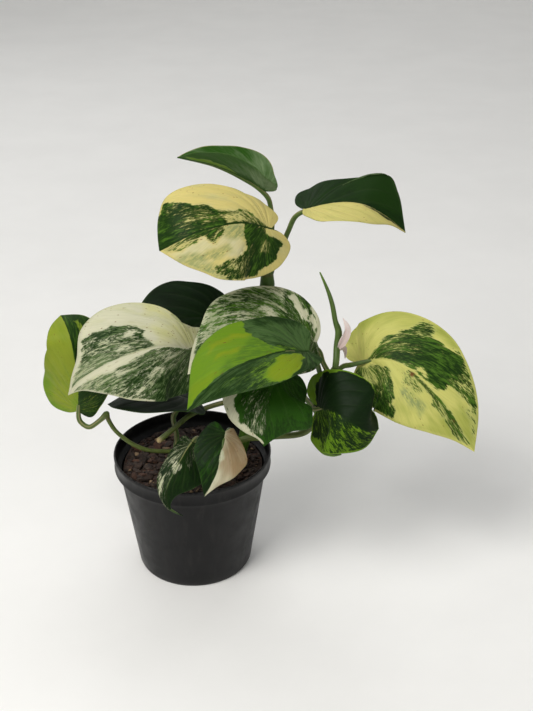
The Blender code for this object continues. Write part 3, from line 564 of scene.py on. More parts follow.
def colour(name, description, red, green, blue):
    return bpy.props.FloatVectorProperty(name=name, description=description, subtype="COLOR", size=3, min=0.0,
                                         max=1.0, default=srgb(red, green, blue))


def length(name, description, millimetres, most=20.0):
    return bpy.props.FloatProperty(name=name, description=description, default=millimetres * MM, min=0.0,
                                   max=most * MM, precision=5, subtype="DISTANCE", unit="LENGTH")


def whole(name, description, default, least=0, most=10000):
    return bpy.props.IntProperty(name=name, description=description, default=default, min=least, max=most)


def power(name, description, watts):
    return bpy.props.FloatProperty(name=name, description=description, default=watts, min=0.0, unit="POWER")


class PothosLeafSizes(bpy.types.PropertyGroup):
    """Sizes of the leaves' own relief."""

    thickness: length("Blade thickness", "Thickness of a blade beside its midrib", 0.85, 3.0)
    edge_thickness: length("Edge thickness", "Thickness of a blade just inside its rounded edge", 0.55, 2.0)
    vein_depth: length("Vein depth", "How deep the side veins are sunk in the upper face", 0.13, 1.0)
    swell: length("Swell", "How far the blade rises between two side veins", 0.22, 2.0)
    groove: length("Midrib groove", "How deep the midrib is sunk in the upper face", 0.32, 2.0)
    sway: length("Sway", "How far the blade wanders from an even curve", 0.3, 2.0)
    ripple: length("Edge ripple", "How far the cut edge waves up and down", 0.3, 3.0)
    side_veins: whole("Side veins", "Side veins in each half", 8, 2, 16)
    rows: whole("Rows", "Steps round each half's edge", 150, 20, 200)
    columns: whole("Columns", "Steps from midrib to edge", 28, 8, 60)
    seed: whole("Seed", "Changes the waves of every blade", 11)


class PothosPotSizes(bpy.types.PropertyGroup):
    """Sizes of the pot's and the soil's detail."""

    steps: whole("Steps", "Steps round the pot", 144, 48, 360)
    chips: whole("Chips", "Bark chips on the soil", 620, 0, 2000)
    grains: whole("Grains", "Fine crumbs between the chips", 1500, 0, 6000)
    chip_size: length("Chip size", "Half the length of a middling bark chip", 2.5, 8.0)
    seed: whole("Seed", "Changes how the bark lies", 5)


class PothosColours(bpy.types.PropertyGroup):
    """Every colour of the plant, its pot and the stage."""

    # Deep shade is painted shade, the near-black green given to the leaves that lie in deep shadow.
    deep_shade: colour("Deep shade", "Darkest green of the shaded leaves", 10, 22, 7)
    black_green: colour("Black green", "Nearly black green", 14, 32, 9)
    dark_green: colour("Dark green", "Dark green of the marbling", 22, 46, 9)
    blue_green: colour("Blue green", "Cool green of the lime leaf", 66, 92, 48)
    leaf_green: colour("Leaf green", "Middle green of the marbling", 70, 104, 30)
    grass_green: colour("Grass green", "Fresh plain green", 38, 76, 13)
    sage: colour("Sage", "Greyish green", 84, 104, 62)
    # Silver green is the underside's own paler green, and on the top leaf a painted satin sheen.
    underside_and_sheen_green: colour("Silver green", "Pale satin green", 104, 124, 86)
    grey_green: colour("Grey green", "Veil over the pale parts", 122, 138, 92)
    cream: colour("Cream", "Warm yellow cream", 204, 189, 118)
    lemon: colour("Lemon", "Greenish yellow cream", 198, 195, 110)
    ivory: colour("Ivory", "Nearly white cream", 200, 198, 170)
    lime: colour("Lime", "Lime of the new variegation", 100, 134, 26)
    yellow_green: colour("Yellow green", "Yellowish lime", 130, 143, 42)
    olive: colour("Olive", "Yellow olive streaks", 120, 138, 22)
    beige: colour("Beige", "Dry beige of some margins", 170, 150, 106)
    # Blush is partly the pink of an old margin and partly painted shade on the low leaf by the rim.
    blush_and_shade: colour("Blush", "Pinkish beige of an old margin", 140, 115, 84)
    speck: colour("Speck", "Small brown specks", 104, 62, 34)
    stem_green: colour("Stem green", "Green of the main stem", 58, 86, 22)
    stem_olive: colour("Stem olive", "Olive of the thin stems", 78, 90, 38)
    petiole: colour("Petiole", "Green of the petioles", 76, 98, 44)
    sheath: colour("Sheath", "Dry edge of a petiole's sheath", 172, 152, 108)
    node_brown: colour("Node brown", "Brown of the old nodes", 84, 62, 40)
    bract: colour("Bract", "Papery white of the bracts", 222, 214, 208)
    bract_pink: colour("Bract pink", "Pink of the bracts' veins", 204, 168, 160)
    pot: colour("Pot", "Black nursery plastic", 12, 12, 13)
    pot_scuff: colour("Pot scuff", "Rubbed edges and dust on the plastic", 66, 65, 62)
    bark: colour("Bark", "Dark brown bark", 44, 30, 21)
    bark_red: colour("Red bark", "Red-brown bark", 96, 58, 38)
    bark_pale: colour("Pale bark", "Dry fibres and pale crumbs", 150, 124, 92)
    floor: colour("Floor", "Plain pale floor", 243, 242, 239)


class PothosLight(bpy.types.PropertyGroup):
    """Strength of the studio lights."""

    key: power("Key light", "Power of the main softbox", 17.5)
    fill: power("Fill light", "Power of the wide front softbox", 3.0)
    back: power("Back light", "Power of the light behind", 2.4)
    rear: power("Rear fill", "Power of the weak softbox behind, to the left", 2.5)
    floor: power("Floor light", "Power of the high softbox over the floor behind", 10.0)
    room: bpy.props.FloatProperty(name="Room", description="Strength of the even light from all round",
                                  default=0.25, min=0.0)


def smooth_curve(points, places):
    """Points of a Catmull-Rom curve through points, at places from 0 (first) to 1 (last)."""
    knots = np.asarray(points, float)
    knots = np.vstack([2 * knots[0] - knots[1], knots, 2 * knots[-1] - knots[-2]])
    spans = len(knots) - 3
    x = np.clip(np.asarray(places, float), 0, 1) * spans
    first = np.minimum(x.astype(int), spans - 1)
    f = (x - first)[..., None]
    a, b, c, d = knots[first], knots[first + 1], knots[first + 2], knots[first + 3]
    cubic = (2 * a - 5 * b + 4 * c - d) * f**2 + (3 * b - a - 3 * c + d) * f**3
    return 0.5 * (2 * b + (c - a) * f + cubic)


def unit(vectors):
    return vectors / np.maximum(np.linalg.norm(vectors, axis=-1, keepdims=True), 1e-12)


def distances(points):
    """How far along the polyline each of its points lies."""
    return np.concatenate([[0], np.cumsum(np.linalg.norm(np.diff(points, axis=0), axis=1))])


def fine_route(route):
    """Close points on the smooth curve through the route, and how far along it each lies."""
    fine = smooth_curve(route, np.linspace(0, 1, ROUTE_STEPS * (len(route) - 1) + 1))
    return fine, distances(fine)


def carried(guide, directions):
    """The guide carried along the directions without a twist, one for each of them."""
    kept = np.empty((len(directions), 3))
    for row, direction in enumerate(directions):
        guide = guide - (guide @ direction) * direction
        guide = guide / np.linalg.norm(guide)
        kept[row] = guide
    return kept


def even_curve(points, distance):
    """A smooth curve through uneven points, at these distances along it, calm where points are close."""
    knots = np.asarray(points, float)
    at = distances(knots)
    slopes = np.diff(knots, axis=0) / np.diff(at)[:, None]
    spans = np.diff(at)[:, None]
    inner = (slopes[:-1] * spans[1:] + slopes[1:] * spans[:-1]) / (spans[:-1] + spans[1:])
    rates = np.vstack([1.5 * slopes[0] - 0.5 * inner[0], inner, 1.5 * slopes[-1] - 0.5 * inner[-1]])
    first = np.clip(np.searchsorted(at, distance, side="right") - 1, 0, len(spans) - 1)
    span = spans[first]
    f = (np.asarray(distance) - at[first])[:, None] / span
    return ((2 * f**3 - 3 * f**2 + 1) * knots[first] + (f**3 - 2 * f**2 + f) * span * rates[first]
            + (3 * f**2 - 2 * f**3) * knots[first + 1] + (f**3 - f**2) * span * rates[first + 1])


def eased(share):
    """share held to 0 and 1, with a smooth start and end."""
    share = np.clip(share, 0, 1)
    return share * share * (3 - 2 * share)


def domed(share):
    """The height of a quarter circle, 1 at the start and 0 at the end."""
    return np.sqrt(1 - np.clip(share, 0, 1) ** 2)


def bell(apart, width):
    """1 where apart is 0, falling smoothly on both sides."""
    return np.exp(-((apart / width) ** 2))


class Midrib:
    """The middle line of a blade, with the way the blade's upper side faces along it."""

    SAMPLES = 241

    def __init__(self, route, face, reach=2.0):
        self.reach = reach
        self.points = smooth_curve(route, np.linspace(0, 1, self.SAMPLES))
        self.along = distances(self.points)
        self.length = self.along[-1]
        self.face = unit(np.asarray(face, float))

    def point(self, along):
        return np.stack([np.interp(along, self.along, self.points[:, axis]) for axis in range(3)], -1)

    def frame(self, along):
        """Point, direction, upward normal and right-hand side; before the base it runs straight back."""
        along = np.asarray(along, float)
        inside = np.clip(along, 0, self.length)
        ahead = unit(self.point(inside + self.reach) - self.point(inside - self.reach))
        place = self.point(inside) + ahead * (along - inside)[..., None]
        up = unit(self.face - (ahead @ self.face)[..., None] * ahead)
        return place, ahead, up, np.cross(ahead, up)

    def half_surface(self, half, side, along, out):
        """The point of one half's curved face that lies along the midrib and out from it when flat."""
        place, _, up, right = self.frame(along)
        share = np.clip(along / self.length, 0, 1)
        slope = np.radians(np.interp(share, np.linspace(0, 1, len(half["slope"])), half["slope"]))
        bend = np.radians(np.interp(share, (0, 1), half["curl"])) / EDGE_CURL_SPAN
        bend = np.where(np.abs(bend) < 1e-6, 1e-6, bend)
        across = (np.sin(slope + bend * out) - np.sin(slope)) / bend
        rise = (np.cos(slope) - np.cos(slope + bend * out)) / bend
        return place + right * (side * across)[..., None] + up * rise[..., None]


class FlatHalf:
    """One half of a blade laid flat: a grid whose rows follow the side veins out to the cut edge."""

    NEAR_EDGE = (0.983, 0.995)
    ROUNDED_FROM = 0.971
    RIM_FROM = 0.97

    def __init__(self, rib, half, rows, columns):
        outline = np.array([(0, 0), *half["edge"], (rib.length, 0)], float)
        spread = distances(outline)
        self.share = 1 - (1 - np.linspace(0, 1, rows + 1)) ** TIP_CROWDING
        self.reach = spread[-1]
        self.rim = even_curve(outline, self.share * self.reach)
        spread_out = np.linspace(0, 1, columns - 1) ** COLUMN_CROWDING
        self.out = np.sort(np.concatenate([spread_out, self.NEAR_EDGE]))[None, :]
        foot = (rib.length * (EVEN_FEET * self.share + (1 - EVEN_FEET) * self.share**LATERAL_SWEEP))[:, None]
        rim_along, rim_out = self.rim[:, :1], self.rim[:, 1:]
        bow_along = foot + VEIN_BOW[0] * (rim_along - foot)
        out = self.out
        self.along = (1 - out) ** 2 * foot + 2 * out * (1 - out) * bow_along + out**2 * rim_along
        self.away = 2 * out * (1 - out) * VEIN_BOW[1] * rim_out + out**2 * rim_out
        steps = np.hypot(np.diff(self.along, axis=1), np.diff(self.away, axis=1))
        self.down_vein = np.concatenate([np.zeros((rows + 1, 1)), np.cumsum(steps, axis=1)], axis=1)
        rate = np.gradient(self.share)[:, None]
        ahead = np.stack([np.gradient(self.along, axis=0), np.gradient(self.away, axis=0)], -1) / rate[..., None]
        outward = unit(np.stack([np.gradient(self.along, axis=1), np.gradient(self.away, axis=1)], -1))
        self.spacing = np.abs(ahead[..., 0] * outward[..., 1] - ahead[..., 1] * outward[..., 0])

    def edge_distance(self):
        """How far each grid point lies from the cut edge."""
        points = np.stack([self.along, self.away], -1).reshape(-1, 1, 2)
        return segment_distance(points, self.rim[:-1], self.rim[1:]).reshape(self.along.shape)


def segment_distance(points, starts, ends):
    """The distance from each point to the nearest of the segments."""
    runs = ends - starts
    share = np.clip(((points - starts) * runs).sum(-1) / np.maximum((runs**2).sum(-1), 1e-9), 0, 1)
    return np.linalg.norm(points - starts - share[..., None] * runs, axis=-1).min(-1)


def depth_inside(points, polygon):
    """How far inside the polygon each flat point lies, negative outside."""
    corners = np.array(polygon, float)
    following = np.roll(corners, -1, axis=0)
    gap = segment_distance(points[..., None, :], corners, following)
    x, y = points[..., None, 0], points[..., None, 1]
    crosses = (corners[:, 1] > y) != (following[:, 1] > y)
    rise = np.where(following[:, 1] == corners[:, 1], 1e-9, following[:, 1] - corners[:, 1])
    meets = corners[:, 0] + (y - corners[:, 1]) * (following[:, 0] - corners[:, 0]) / rise
    inside = (crosses & (x < meets)).sum(-1) % 2 == 1
    return np.where(inside, gap, -gap)


def wander(waves, along, away):
    """The sum of the waves at each point of the flat half."""
    return sum(size * np.sin(per_along * along + per_away * away + start)
               for size, per_along, per_away, start in waves)


def painted(flat, side, spec):
    """The five channels over one half, from the leaf's ground tone, its marks and its margins."""
    along, away = flat.along, flat.away
    fields = {name: np.full(along.shape, start) for name, start in zip(CHANNELS, TONES[spec["ground"]])}
    free = eased(away / 5)
    signed = np.stack([along + wander(WANDER_ALONG, along, away) * free,
                       -side * (away + wander(WANDER_OUT, along, away) * free)], -1)
    edge = flat.edge_distance()
    weights = [(tone, eased(0.5 + depth_inside(signed, outline) / softness))
               for tone, softness, outline in spec["marks"]]
    for tone, half, first, last, width in spec.get("margins", ()):
        if (half == "left") == (side < 0):
            run = eased((along - first) / 4 + 0.5) * eased((last - along) / 4 + 0.5)
            weights.append((tone, run * eased((width - edge) / (0.5 + 0.3 * width) + 0.5)))
    if "rib" in spec:
        weights.append((spec["rib"], 0.85 * eased(1.5 - away / 0.5)))
    for tone, weight in weights:
        for name, level in zip(CHANNELS, TONES[tone]):
            if level is not None:
                fields[name] = fields[name] * (1 - weight) + level * weight
    fields["deep"] = fields["deep"] + spec.get("depth", 0.0)
    return fields


class Shells:
    """The points, faces and per-point values of one piece, shell by shell."""

    def __init__(self):
        self.points, self.faces, self.uvs, self.finishes = [], [], [], []
        self.values = {}
        self.count = 0

    def add_points(self, points, **values):
        points = np.asarray(points, float).reshape(-1, 3)
        first = self.count
        self.points.append(points)
        for name in sorted({*values, *self.values}):
            done = self.values.setdefault(name, [np.zeros(first)] if first else [])
            value = values.get(name, 0.0)
            done.append(np.broadcast_to(np.asarray(value, float).ravel() if np.ndim(value) else value, len(points)))
        self.count += len(points)
        return first + np.arange(len(points))

    def add_grid(self, ids, uv, turned=False, finish=0):
        """Faces over a grid of point numbers. Where a row is one point, its faces are triangles."""
        corners = [ids[:-1, :-1], ids[1:, :-1], ids[1:, 1:], ids[:-1, 1:]]
        places = [uv[:-1, :-1], uv[1:, :-1], uv[1:, 1:], uv[:-1, 1:]]
        quads = np.stack(corners, -1).reshape(-1, 4)
        maps = np.stack(places, -2).reshape(-1, 4, 2)
        for quad, place in zip(quads.tolist(), maps.tolist()):
            kept = [i for i in range(4) if quad[i] != quad[i - 1]]
            if len(kept) < 3:
                continue
            if turned:
                kept.reverse()
            self.faces.append([quad[i] for i in kept])
            self.uvs.extend(place[i] for i in kept)
            self.finishes.append(finish)

    def add_faces(self, ids, faces, finish=0):
        """Faces of a shell that has no grid; they take no map places."""
        for face in faces:
            self.faces.append([int(ids[i]) for i in face])
            self.uvs.extend((0.0, 0.0) for _ in face)
            self.finishes.append(finish)

    def piece(self, name, finishes):
        """The piece as an object that stands for its node."""
        mesh = bpy.data.meshes.new(name)
        mesh.from_pydata((np.vstack(self.points) * MM).tolist(), [], self.faces)
        layer = mesh.uv_layers.new(name="grain")
        layer.data.foreach_set("uv", np.array(self.uvs, np.float32).ravel())
        mesh.polygons.foreach_set("material_index", np.array(self.finishes, np.int32))
        for key, parts in self.values.items():
            set_attribute(mesh, key, np.concatenate(parts))
        mesh.shade_smooth()
        mesh.update()
        obj = bpy.data.objects.new(name + "_grown", mesh)
        bpy.context.scene.collection.objects.link(obj)
        return dressed(obj, name, finishes)


def set_attribute(mesh, name, values):
    """Puts one value on each point of the mesh, for its material to read."""
    mesh.attributes.new(name, "FLOAT", "POINT").data.foreach_set("value", values.astype(np.float32))


def closed_rings(rings, first, last):
    """A grid of point numbers whose rings close on themselves, between one point at either end."""
    grid = np.concatenate([rings, rings[:, :1]], axis=1)
    return np.vstack([np.full(grid.shape[1], first), grid, np.full(grid.shape[1], last)])


def dressed(obj, node, finishes):
    """Gives a piece its materials and ties it to the node it stands for."""
    for finish in finishes:
        obj.data.materials.append(finish)
    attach(obj, "root")
    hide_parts(node)
    return obj


def blade_shell(shells, rib, halves, sizes, spec, seed):
    """A closed blade with veins, swells and a rounded edge, both faces and both halves."""
    rng = np.random.default_rng(seed)
    flats = {side: FlatHalf(rib, halves[side], sizes["rows"], sizes["columns"]) for side in (-1, 1)}
    grids, normals = {}, {}
    for side, flat in flats.items():
        grid = rib.half_surface(halves[side], side, flat.along, flat.away)
        normal = unit(np.cross(np.gradient(grid, axis=1), np.gradient(grid, axis=0)) * side)
        normal[0], normal[-1] = normal[1], normal[-2]
        grids[side], normals[side] = grid, normal
    spine = unit(normals[-1][:, 0] + normals[1][:, 0])
    normals[-1][:, 0] = normals[1][:, 0] = spine
    ids = {}
    for side, flat in flats.items():
        relief = blade_relief(rng, flat, sizes)
        fields = painted(flat, side, spec) if spec else {}
        middle = grids[side] + normals[side] * relief["lift"][..., None]
        # each half of each blade has its own stretch of the map
        start = GRAIN_APART * (side + 2 + 5 * (seed % 97))
        round_edge = np.broadcast_to(flat.share[:, None] * flat.reach + start, flat.along.shape)
        uv = np.stack([round_edge, flat.down_vein], -1)
        rim = np.broadcast_to(eased((flat.out - flat.RIM_FROM) / 0.02), flat.along.shape)
        for face, sign in (("upper", 1), ("under", -1)):
            height = sign * (relief["thickness"] / 2 + relief[face])
            points = middle + normals[side] * height[..., None]
            numbers = shells.add_points(points, **fields, vein=relief["vein"], under=float(sign < 0), edge=rim)
            numbers = numbers.reshape(flat.along.shape)
            if sign < 0:
                numbers[:, -1] = ids[side, "upper"][:, -1]
            if side > 0:
                numbers[:, 0] = ids[-1, face][:, 0]
            if not ids:
                base, tip = numbers[0, 0], numbers[-1, 0]
            numbers[0, :], numbers[-1, :] = base, tip
            ids[side, face] = numbers
            shells.add_grid(numbers, uv, turned=(side > 0) == (sign > 0))


def blade_relief(rng, flat, sizes):
    """How far a half's faces stand off its even middle surface, and how strong a vein is at each point."""
    out, share = flat.out, flat.share[:, None]
    veins = sizes["side_veins"]
    groove = np.zeros(flat.along.shape)
    for number in range(veins):
        place = (number + 0.8 + 0.12 * rng.standard_normal()) / (veins + 0.6)
        apart = (share - place) * flat.spacing
        groove = np.maximum(groove, bell(apart, 0.75 - 0.35 * out) * eased((1.02 - out) / 0.35))
    between = np.sin(np.pi * (share * (veins + 0.6) + 0.2)) ** 2
    swell = between * (4 * out * (1 - out)) ** 0.8 * eased(flat.spacing / 60)
    waves = np.zeros(flat.along.shape)
    for _ in range(4):
        turns, drift, phase = rng.uniform(0.6, 2.4), rng.uniform(0.2, 1.1), rng.uniform(0, 2 * np.pi)
        waves += np.sin(2 * np.pi * (turns * share + drift * out) + phase) / 2
    ends = eased(share * 6) * eased((1 - share) * 6)
    ripple = np.sin(2 * np.pi * (rng.uniform(2.2, 3.4) * share) + rng.uniform(0, 2 * np.pi)) * out**4
    rib = bell(flat.away, 0.8) * eased((1 - share) * 5)
    lift = ends * (sizes["sway"] * waves * out**1.2 + sizes["ripple"] * ripple)
    thinned = (sizes["edge_thickness"] - sizes["thickness"]) * out**1.5
    taper = np.broadcast_to(sizes["thickness"] + thinned, flat.along.shape)
    rounding = domed((out - flat.ROUNDED_FROM) / (1 - flat.ROUNDED_FROM))
    inside = rounding * ends
    upper = inside * (sizes["swell"] * swell - sizes["vein_depth"] * groove - sizes["groove"] * rib)
    under = inside * (sizes["vein_depth"] * 1.2 * groove - 0.7 * sizes["swell"] * swell)
    return dict(lift=lift, thickness=taper * rounding, upper=upper, under=under, vein=np.maximum(groove, rib * 0.8))


def tube_shell(shells, route, radii, sides, step, section, shade, facing=(0, 0, 1), round_end=False, finish=0):
    """A stalk through the route. section and shade take the turn round it and the distances from its two
    ends, and give what scales its radius and what its material reads."""
    fine, along = fine_route(route)
    total = along[-1]
    stations = np.linspace(0, total, max(6, round(total / step)) + 1)
    if round_end:
        dome = np.sin(np.linspace(0, np.pi / 2, 7))[1:-1]
        stations = np.concatenate([stations, total - radii[-1] * (1 - dome)])
    stations = np.unique(np.round(stations, 4))
    places = np.stack([np.interp(stations, along, fine[:, axis]) for axis in range(3)], -1)
    ahead = unit(np.gradient(places, axis=0))
    knots = np.interp(stations, along[::ROUTE_STEPS], np.arange(len(route)))
    radius = smooth_curve(np.array(radii, float)[:, None], knots / (len(route) - 1))[:, 0]
    if round_end:
        radius *= domed(1 - (total - stations) / radii[-1])
    top = carried(np.asarray(facing, float), ahead)
    aside = np.cross(ahead, top)
    turn = np.linspace(0, 2 * np.pi, sides + 1)
    where = turn[None, :], stations[:, None], total - stations[:, None]
    ring = radius[:, None] * section(*where)
    points = (places[:, None] + top[:, None] * (np.cos(turn) * ring)[..., None]
              + aside[:, None] * (np.sin(turn) * ring)[..., None])
    values = {name: np.broadcast_to(field, ring.shape)[:, :-1] for name, field in shade(*where).items()}
    body = shells.add_points(points[:, :-1], **values).reshape(len(stations), sides)
    first, last = (shells.add_points(places[row], **{name: field[row].mean() for name, field in values.items()})[0]
                   for row in (0, -1))
    far = np.concatenate([[stations[0]], stations, [stations[-1]]])
    uv = np.stack(np.broadcast_arrays(turn[None, :] * PETIOLE_RADIUS, far[:, None]), -1)
    shells.add_grid(closed_rings(body, first, last), uv, finish=finish)


def from_top(turn):
    """How far round from its upper side a point of a stalk lies, either way."""
    return np.abs(np.angle(np.exp(1j * turn)))


def stalk_section(turn, far, left):
    """A petiole: wider at its foot, with a shallow channel and two low ridges on its upper side."""
    channel = eased(far / 4) * eased((left - 2) / 20)
    ridges = bell(from_top(turn) - RIDGE_TURN, RIDGE_WIDTH)
    return 1 + 0.32 * bell(far, 5.0) - channel * 0.22 * bell(from_top(turn), 0.42) + channel * 0.13 * ridges


def stalk_shade(turn, far, left):
    """Where a petiole's sheath edge is dry, and where its foot is pale."""
    ridges = bell(from_top(turn) - RIDGE_TURN, RIDGE_WIDTH)
    return dict(sheath=ridges * eased((far + 2) / 4) * eased((left - 30) / 20), foot=bell(far, 4.0))


def leaf_stalk(rib, petiole):
    """The petiole's route on into the keel under the midrib, and the radius at each point."""
    places = list(petiole)
    radii = [PETIOLE_RADIUS] * len(places)
    for share, keel_radius in KEEL_STATIONS:
        place, _, up, _ = rib.frame(np.array(share * rib.length))
        places.append(tuple(place - up * (KEEL_DROP * keel_radius)))
        radii.append(keel_radius)
    return places, radii


def stalk_facing(rib, petiole):
    """The way a petiole's upper side looks at its foot: carried back from the blade along the route."""
    ahead = unit(np.gradient(smooth_curve(petiole, np.linspace(0, 1, 40)), axis=0))
    return carried(rib.frame(np.array(0.0))[2], ahead[::-1])[-1]


# Materials


def group_of(name, inputs, outputs):
    """An empty shader node group with those sockets; gives the group, its input node and its output node."""
    group = bpy.data.node_groups.new(name, "ShaderNodeTree")
    kinds = {"value": "NodeSocketFloat", "colour": "NodeSocketColor", "vector": "NodeSocketVector"}
    for in_out, sockets in (("INPUT", inputs), ("OUTPUT", outputs)):
        for socket, kind in sockets:
            group.interface.new_socket(socket, in_out=in_out, socket_type=kinds[kind])
    return group, group.nodes.new("NodeGroupInput"), group.nodes.new("NodeGroupOutput")


class Wiring:
    """Adds nodes to a tree and links them, with plain values set on the sockets."""

    def __init__(self, tree):
        self.tree = tree

    def put(self, socket, value):
        if isinstance(value, bpy.types.NodeSocket):
            self.tree.links.new(value, socket)
        elif value is not None:
            socket.default_value = value

    def plug(self, sockets, **values):
        """Links or sets sockets by their names, with _ for a space; a plain number is set on the socket."""
        for key, value in values.items():
            self.put(sockets[key.replace("_", " ")], value)

    def node(self, kind, settings=(), **sockets):
        made = self.tree.nodes.new(kind)
        for key, value in dict(settings).items():
            setattr(made, key, value)
        self.plug(made.inputs, **sockets)
        return made

    def maths(self, operation, first, second=None, third=None, clamp=False):
        made = self.tree.nodes.new("ShaderNodeMath")
        made.operation = operation
        made.use_clamp = clamp
        for socket, value in zip(made.inputs, (first, second, third)):
            self.put(socket, value)
        return made.outputs[0]

    def times(self, first, second, clamp=False):
        return self.maths("MULTIPLY", first, second, clamp=clamp)

    def scaled(self, value, factor, start, clamp=False):
        return self.maths("MULTIPLY_ADD", value, factor, start, clamp)

    def weighted(self, first, share, second, other):
        return self.maths("ADD", self.times(first, share), self.times(second, other))

    def mix(self, share, first, second, blend="MIX"):
        """A mix of two colours; sockets 6 and 7 and output 2 are the node's colour ones."""
        made = self.tree.nodes.new("ShaderNodeMix")
        made.data_type = "RGBA"
        made.blend_type = blend
        made.clamp_factor = True
        self.put(made.inputs[0], share)
        self.put(made.inputs[6], first)
        self.put(made.inputs[7], second)
        return made.outputs[2]

    def lay(self, base, mask, share, over):
        """A colour laid over base where mask is 1, by share."""
        return self.mix(self.times(mask, share), base, over)

    def noise(self, vector, scale, detail, roughness, distortion=0.0, stretch=None):
        if stretch is not None:
            vector = self.node("ShaderNodeMapping", Vector=vector, Scale=stretch).outputs[0]
        return self.node("ShaderNodeTexNoise", Vector=vector, Scale=scale, Detail=detail, Roughness=roughness,
                         Distortion=distortion).outputs[0]

    def window(self, value, low, high):
        """value as a share from low to high, held to 0 and 1."""
        made = self.node("ShaderNodeMapRange", Value=value)
        made.inputs["From Min"].default_value = low
        made.inputs["From Max"].default_value = high
        return made.outputs[0]

    def attribute(self, name):
        return self.node("ShaderNodeAttribute", {"attribute_name": name}).outputs["Fac"]

    def bump(self, height, distance, strength):
        made = self.node("ShaderNodeBump", Height=height)
        made.inputs["Strength"].default_value = strength
        made.inputs["Distance"].default_value = distance
        return made.outputs[0]

    def use(self, group, **sockets):
        made = self.tree.nodes.new("ShaderNodeGroup")
        made.node_tree = group
        self.plug(made.inputs, **sockets)
        return made.outputs

    def grain(self):
        return self.node("ShaderNodeUVMap", {"uv_map": "grain"}).outputs[0]

    def place(self):
        return self.node("ShaderNodeTexCoord").outputs["Object"]


def marbling_group():
    """Green and pale marbling that streaks along the side veins; levels come from the painted channels."""
    values = "Fineness", "Contrast", "Pale", "Depth", "Tint", "Veil", "Fleck", "Specks"
    colours = "Dark Green", "Mid Green", "Pale Colour", "Second Pale", "Veil Colour", "Speck Colour"
    group, given, result = group_of(
        "Leaf marbling",
        [("Grain", "vector"), *((name, "value") for name in values), *((name, "colour") for name in colours)],
        [("Color", "colour")])
    w, g = Wiring(group), given.outputs
    # Each noise is drawn out along the side veins, which run up the map.
    streaks = w.noise(g["Grain"], g["Fineness"], 4.0, 0.6, 0.5, (0.15, 0.05, 1))
    strokes = w.noise(g["Grain"], g["Fineness"], 3.0, 0.6, 0.4, (0.5, 0.16, 1))
    flecks = w.noise(g["Grain"], g["Fineness"], 2.0, 0.6, 0.0, (1.2, 0.6, 1))
    blotch = w.scaled(strokes, 0.40, w.times(flecks, 0.26))
    blotch = w.scaled(streaks, 0.34, blotch)
    level = w.scaled(w.maths("SUBTRACT", blotch, 0.5), g["Fleck"], g["Pale"])
    mask = w.window(level, -0.09, 0.09)
    shades = w.noise(g["Grain"], g["Fineness"], 5.0, 0.66, 0.3, (0.50, 0.17, 1))
    cloud = w.noise(g["Grain"], 1.0, 3.0, 0.5, 0.0, (0.09, 0.05, 1))
    slow = w.scaled(w.maths("SUBTRACT", cloud, 0.5), 2.4, g["Depth"])
    shade = w.scaled(w.maths("SUBTRACT", shades, 0.5), g["Contrast"], slow, clamp=True)
    green = w.mix(shade, g["Mid Green"], g["Dark Green"])
    halo = w.mix(0.45, g["Mid Green"], g["Pale Colour"])
    green = w.lay(green, w.window(level, -0.62, -0.05), 0.55, halo)
    second = w.scaled(w.maths("SUBTRACT", cloud, 0.5), 1.2, g["Tint"], clamp=True)
    pale = w.mix(second, g["Pale Colour"], g["Second Pale"])
    wash = w.window(w.scaled(shades, 0.4, w.times(cloud, 0.6)), 0.46, 0.66)
    pale = w.lay(pale, wash, 0.30, halo)
    veil = w.times(g["Veil"], w.window(strokes, 0.32, 0.56), clamp=True)
    near_green = w.times(w.window(level, 0.60, 0.05), 0.50)
    pale = w.mix(w.maths("MAXIMUM", veil, near_green), pale, g["Veil Colour"])
    spread = w.node("ShaderNodeMapping", Vector=g["Grain"], Scale=(0.42, 0.3, 1)).outputs[0]
    cells = w.node("ShaderNodeTexVoronoi", Vector=spread, Scale=1.0)
    chance = w.node("ShaderNodeSeparateColor", Color=cells.outputs["Color"]).outputs[0]
    near = w.maths("LESS_THAN", cells.outputs["Distance"], 0.16)
    dot = w.times(near, w.maths("LESS_THAN", chance, g["Specks"]))
    pale = w.lay(pale, dot, 0.85, g["Speck Colour"])
    w.plug(result.inputs, Color=w.mix(mask, green, pale))
    return group


def veining_group():
    """The finest veins, close lines that run along the side veins, and the cells between them."""
    group, given, result = group_of("Leaf veining", [("Grain", "vector"), ("Vein", "value")],
                                    [("Height", "value"), ("Lines", "value"), ("Satin", "value")])
    w, g = Wiring(group), given.outputs
    lines = w.noise(g["Grain"], 1.0, 2.0, 0.5, 0.0, (1.5, 0.05, 1))
    cells = w.noise(g["Grain"], 1.0, 3.0, 0.7, 0.0, (3.2, 2.6, 1))
    patches = w.noise(g["Grain"], 1.0, 3.0, 0.6, 0.0, (0.3, 0.2, 1))
    height = w.maths("SUBTRACT", w.weighted(lines, 0.7, cells, 0.3), w.times(g["Vein"], 0.25))
    w.plug(result.inputs, Height=height, Lines=w.window(lines, 0.42, 0.6), Satin=w.window(patches, 0.35, 0.65))
    return group


def fibre_group():
    """Long fibres along a stem, with slow patches of another tone."""
    group, given, result = group_of("Stem fibres", [("Grain", "vector"), ("Patch Size", "value")],
                                    [("Fibres", "value"), ("Patches", "value"), ("Height", "value")])
    w, g = Wiring(group), given.outputs
    fibres = w.noise(g["Grain"], 1.0, 3.0, 0.6, 0.0, (2.2, 0.09, 1))
    patches = w.noise(g["Grain"], g["Patch Size"], 4.0, 0.6, 0.3, (0.5, 0.16, 1))
    w.plug(result.inputs, Fibres=w.window(fibres, 0.35, 0.65), Patches=w.window(patches, 0.38, 0.62),
           Height=w.weighted(fibres, 0.7, patches, 0.3))
    return group


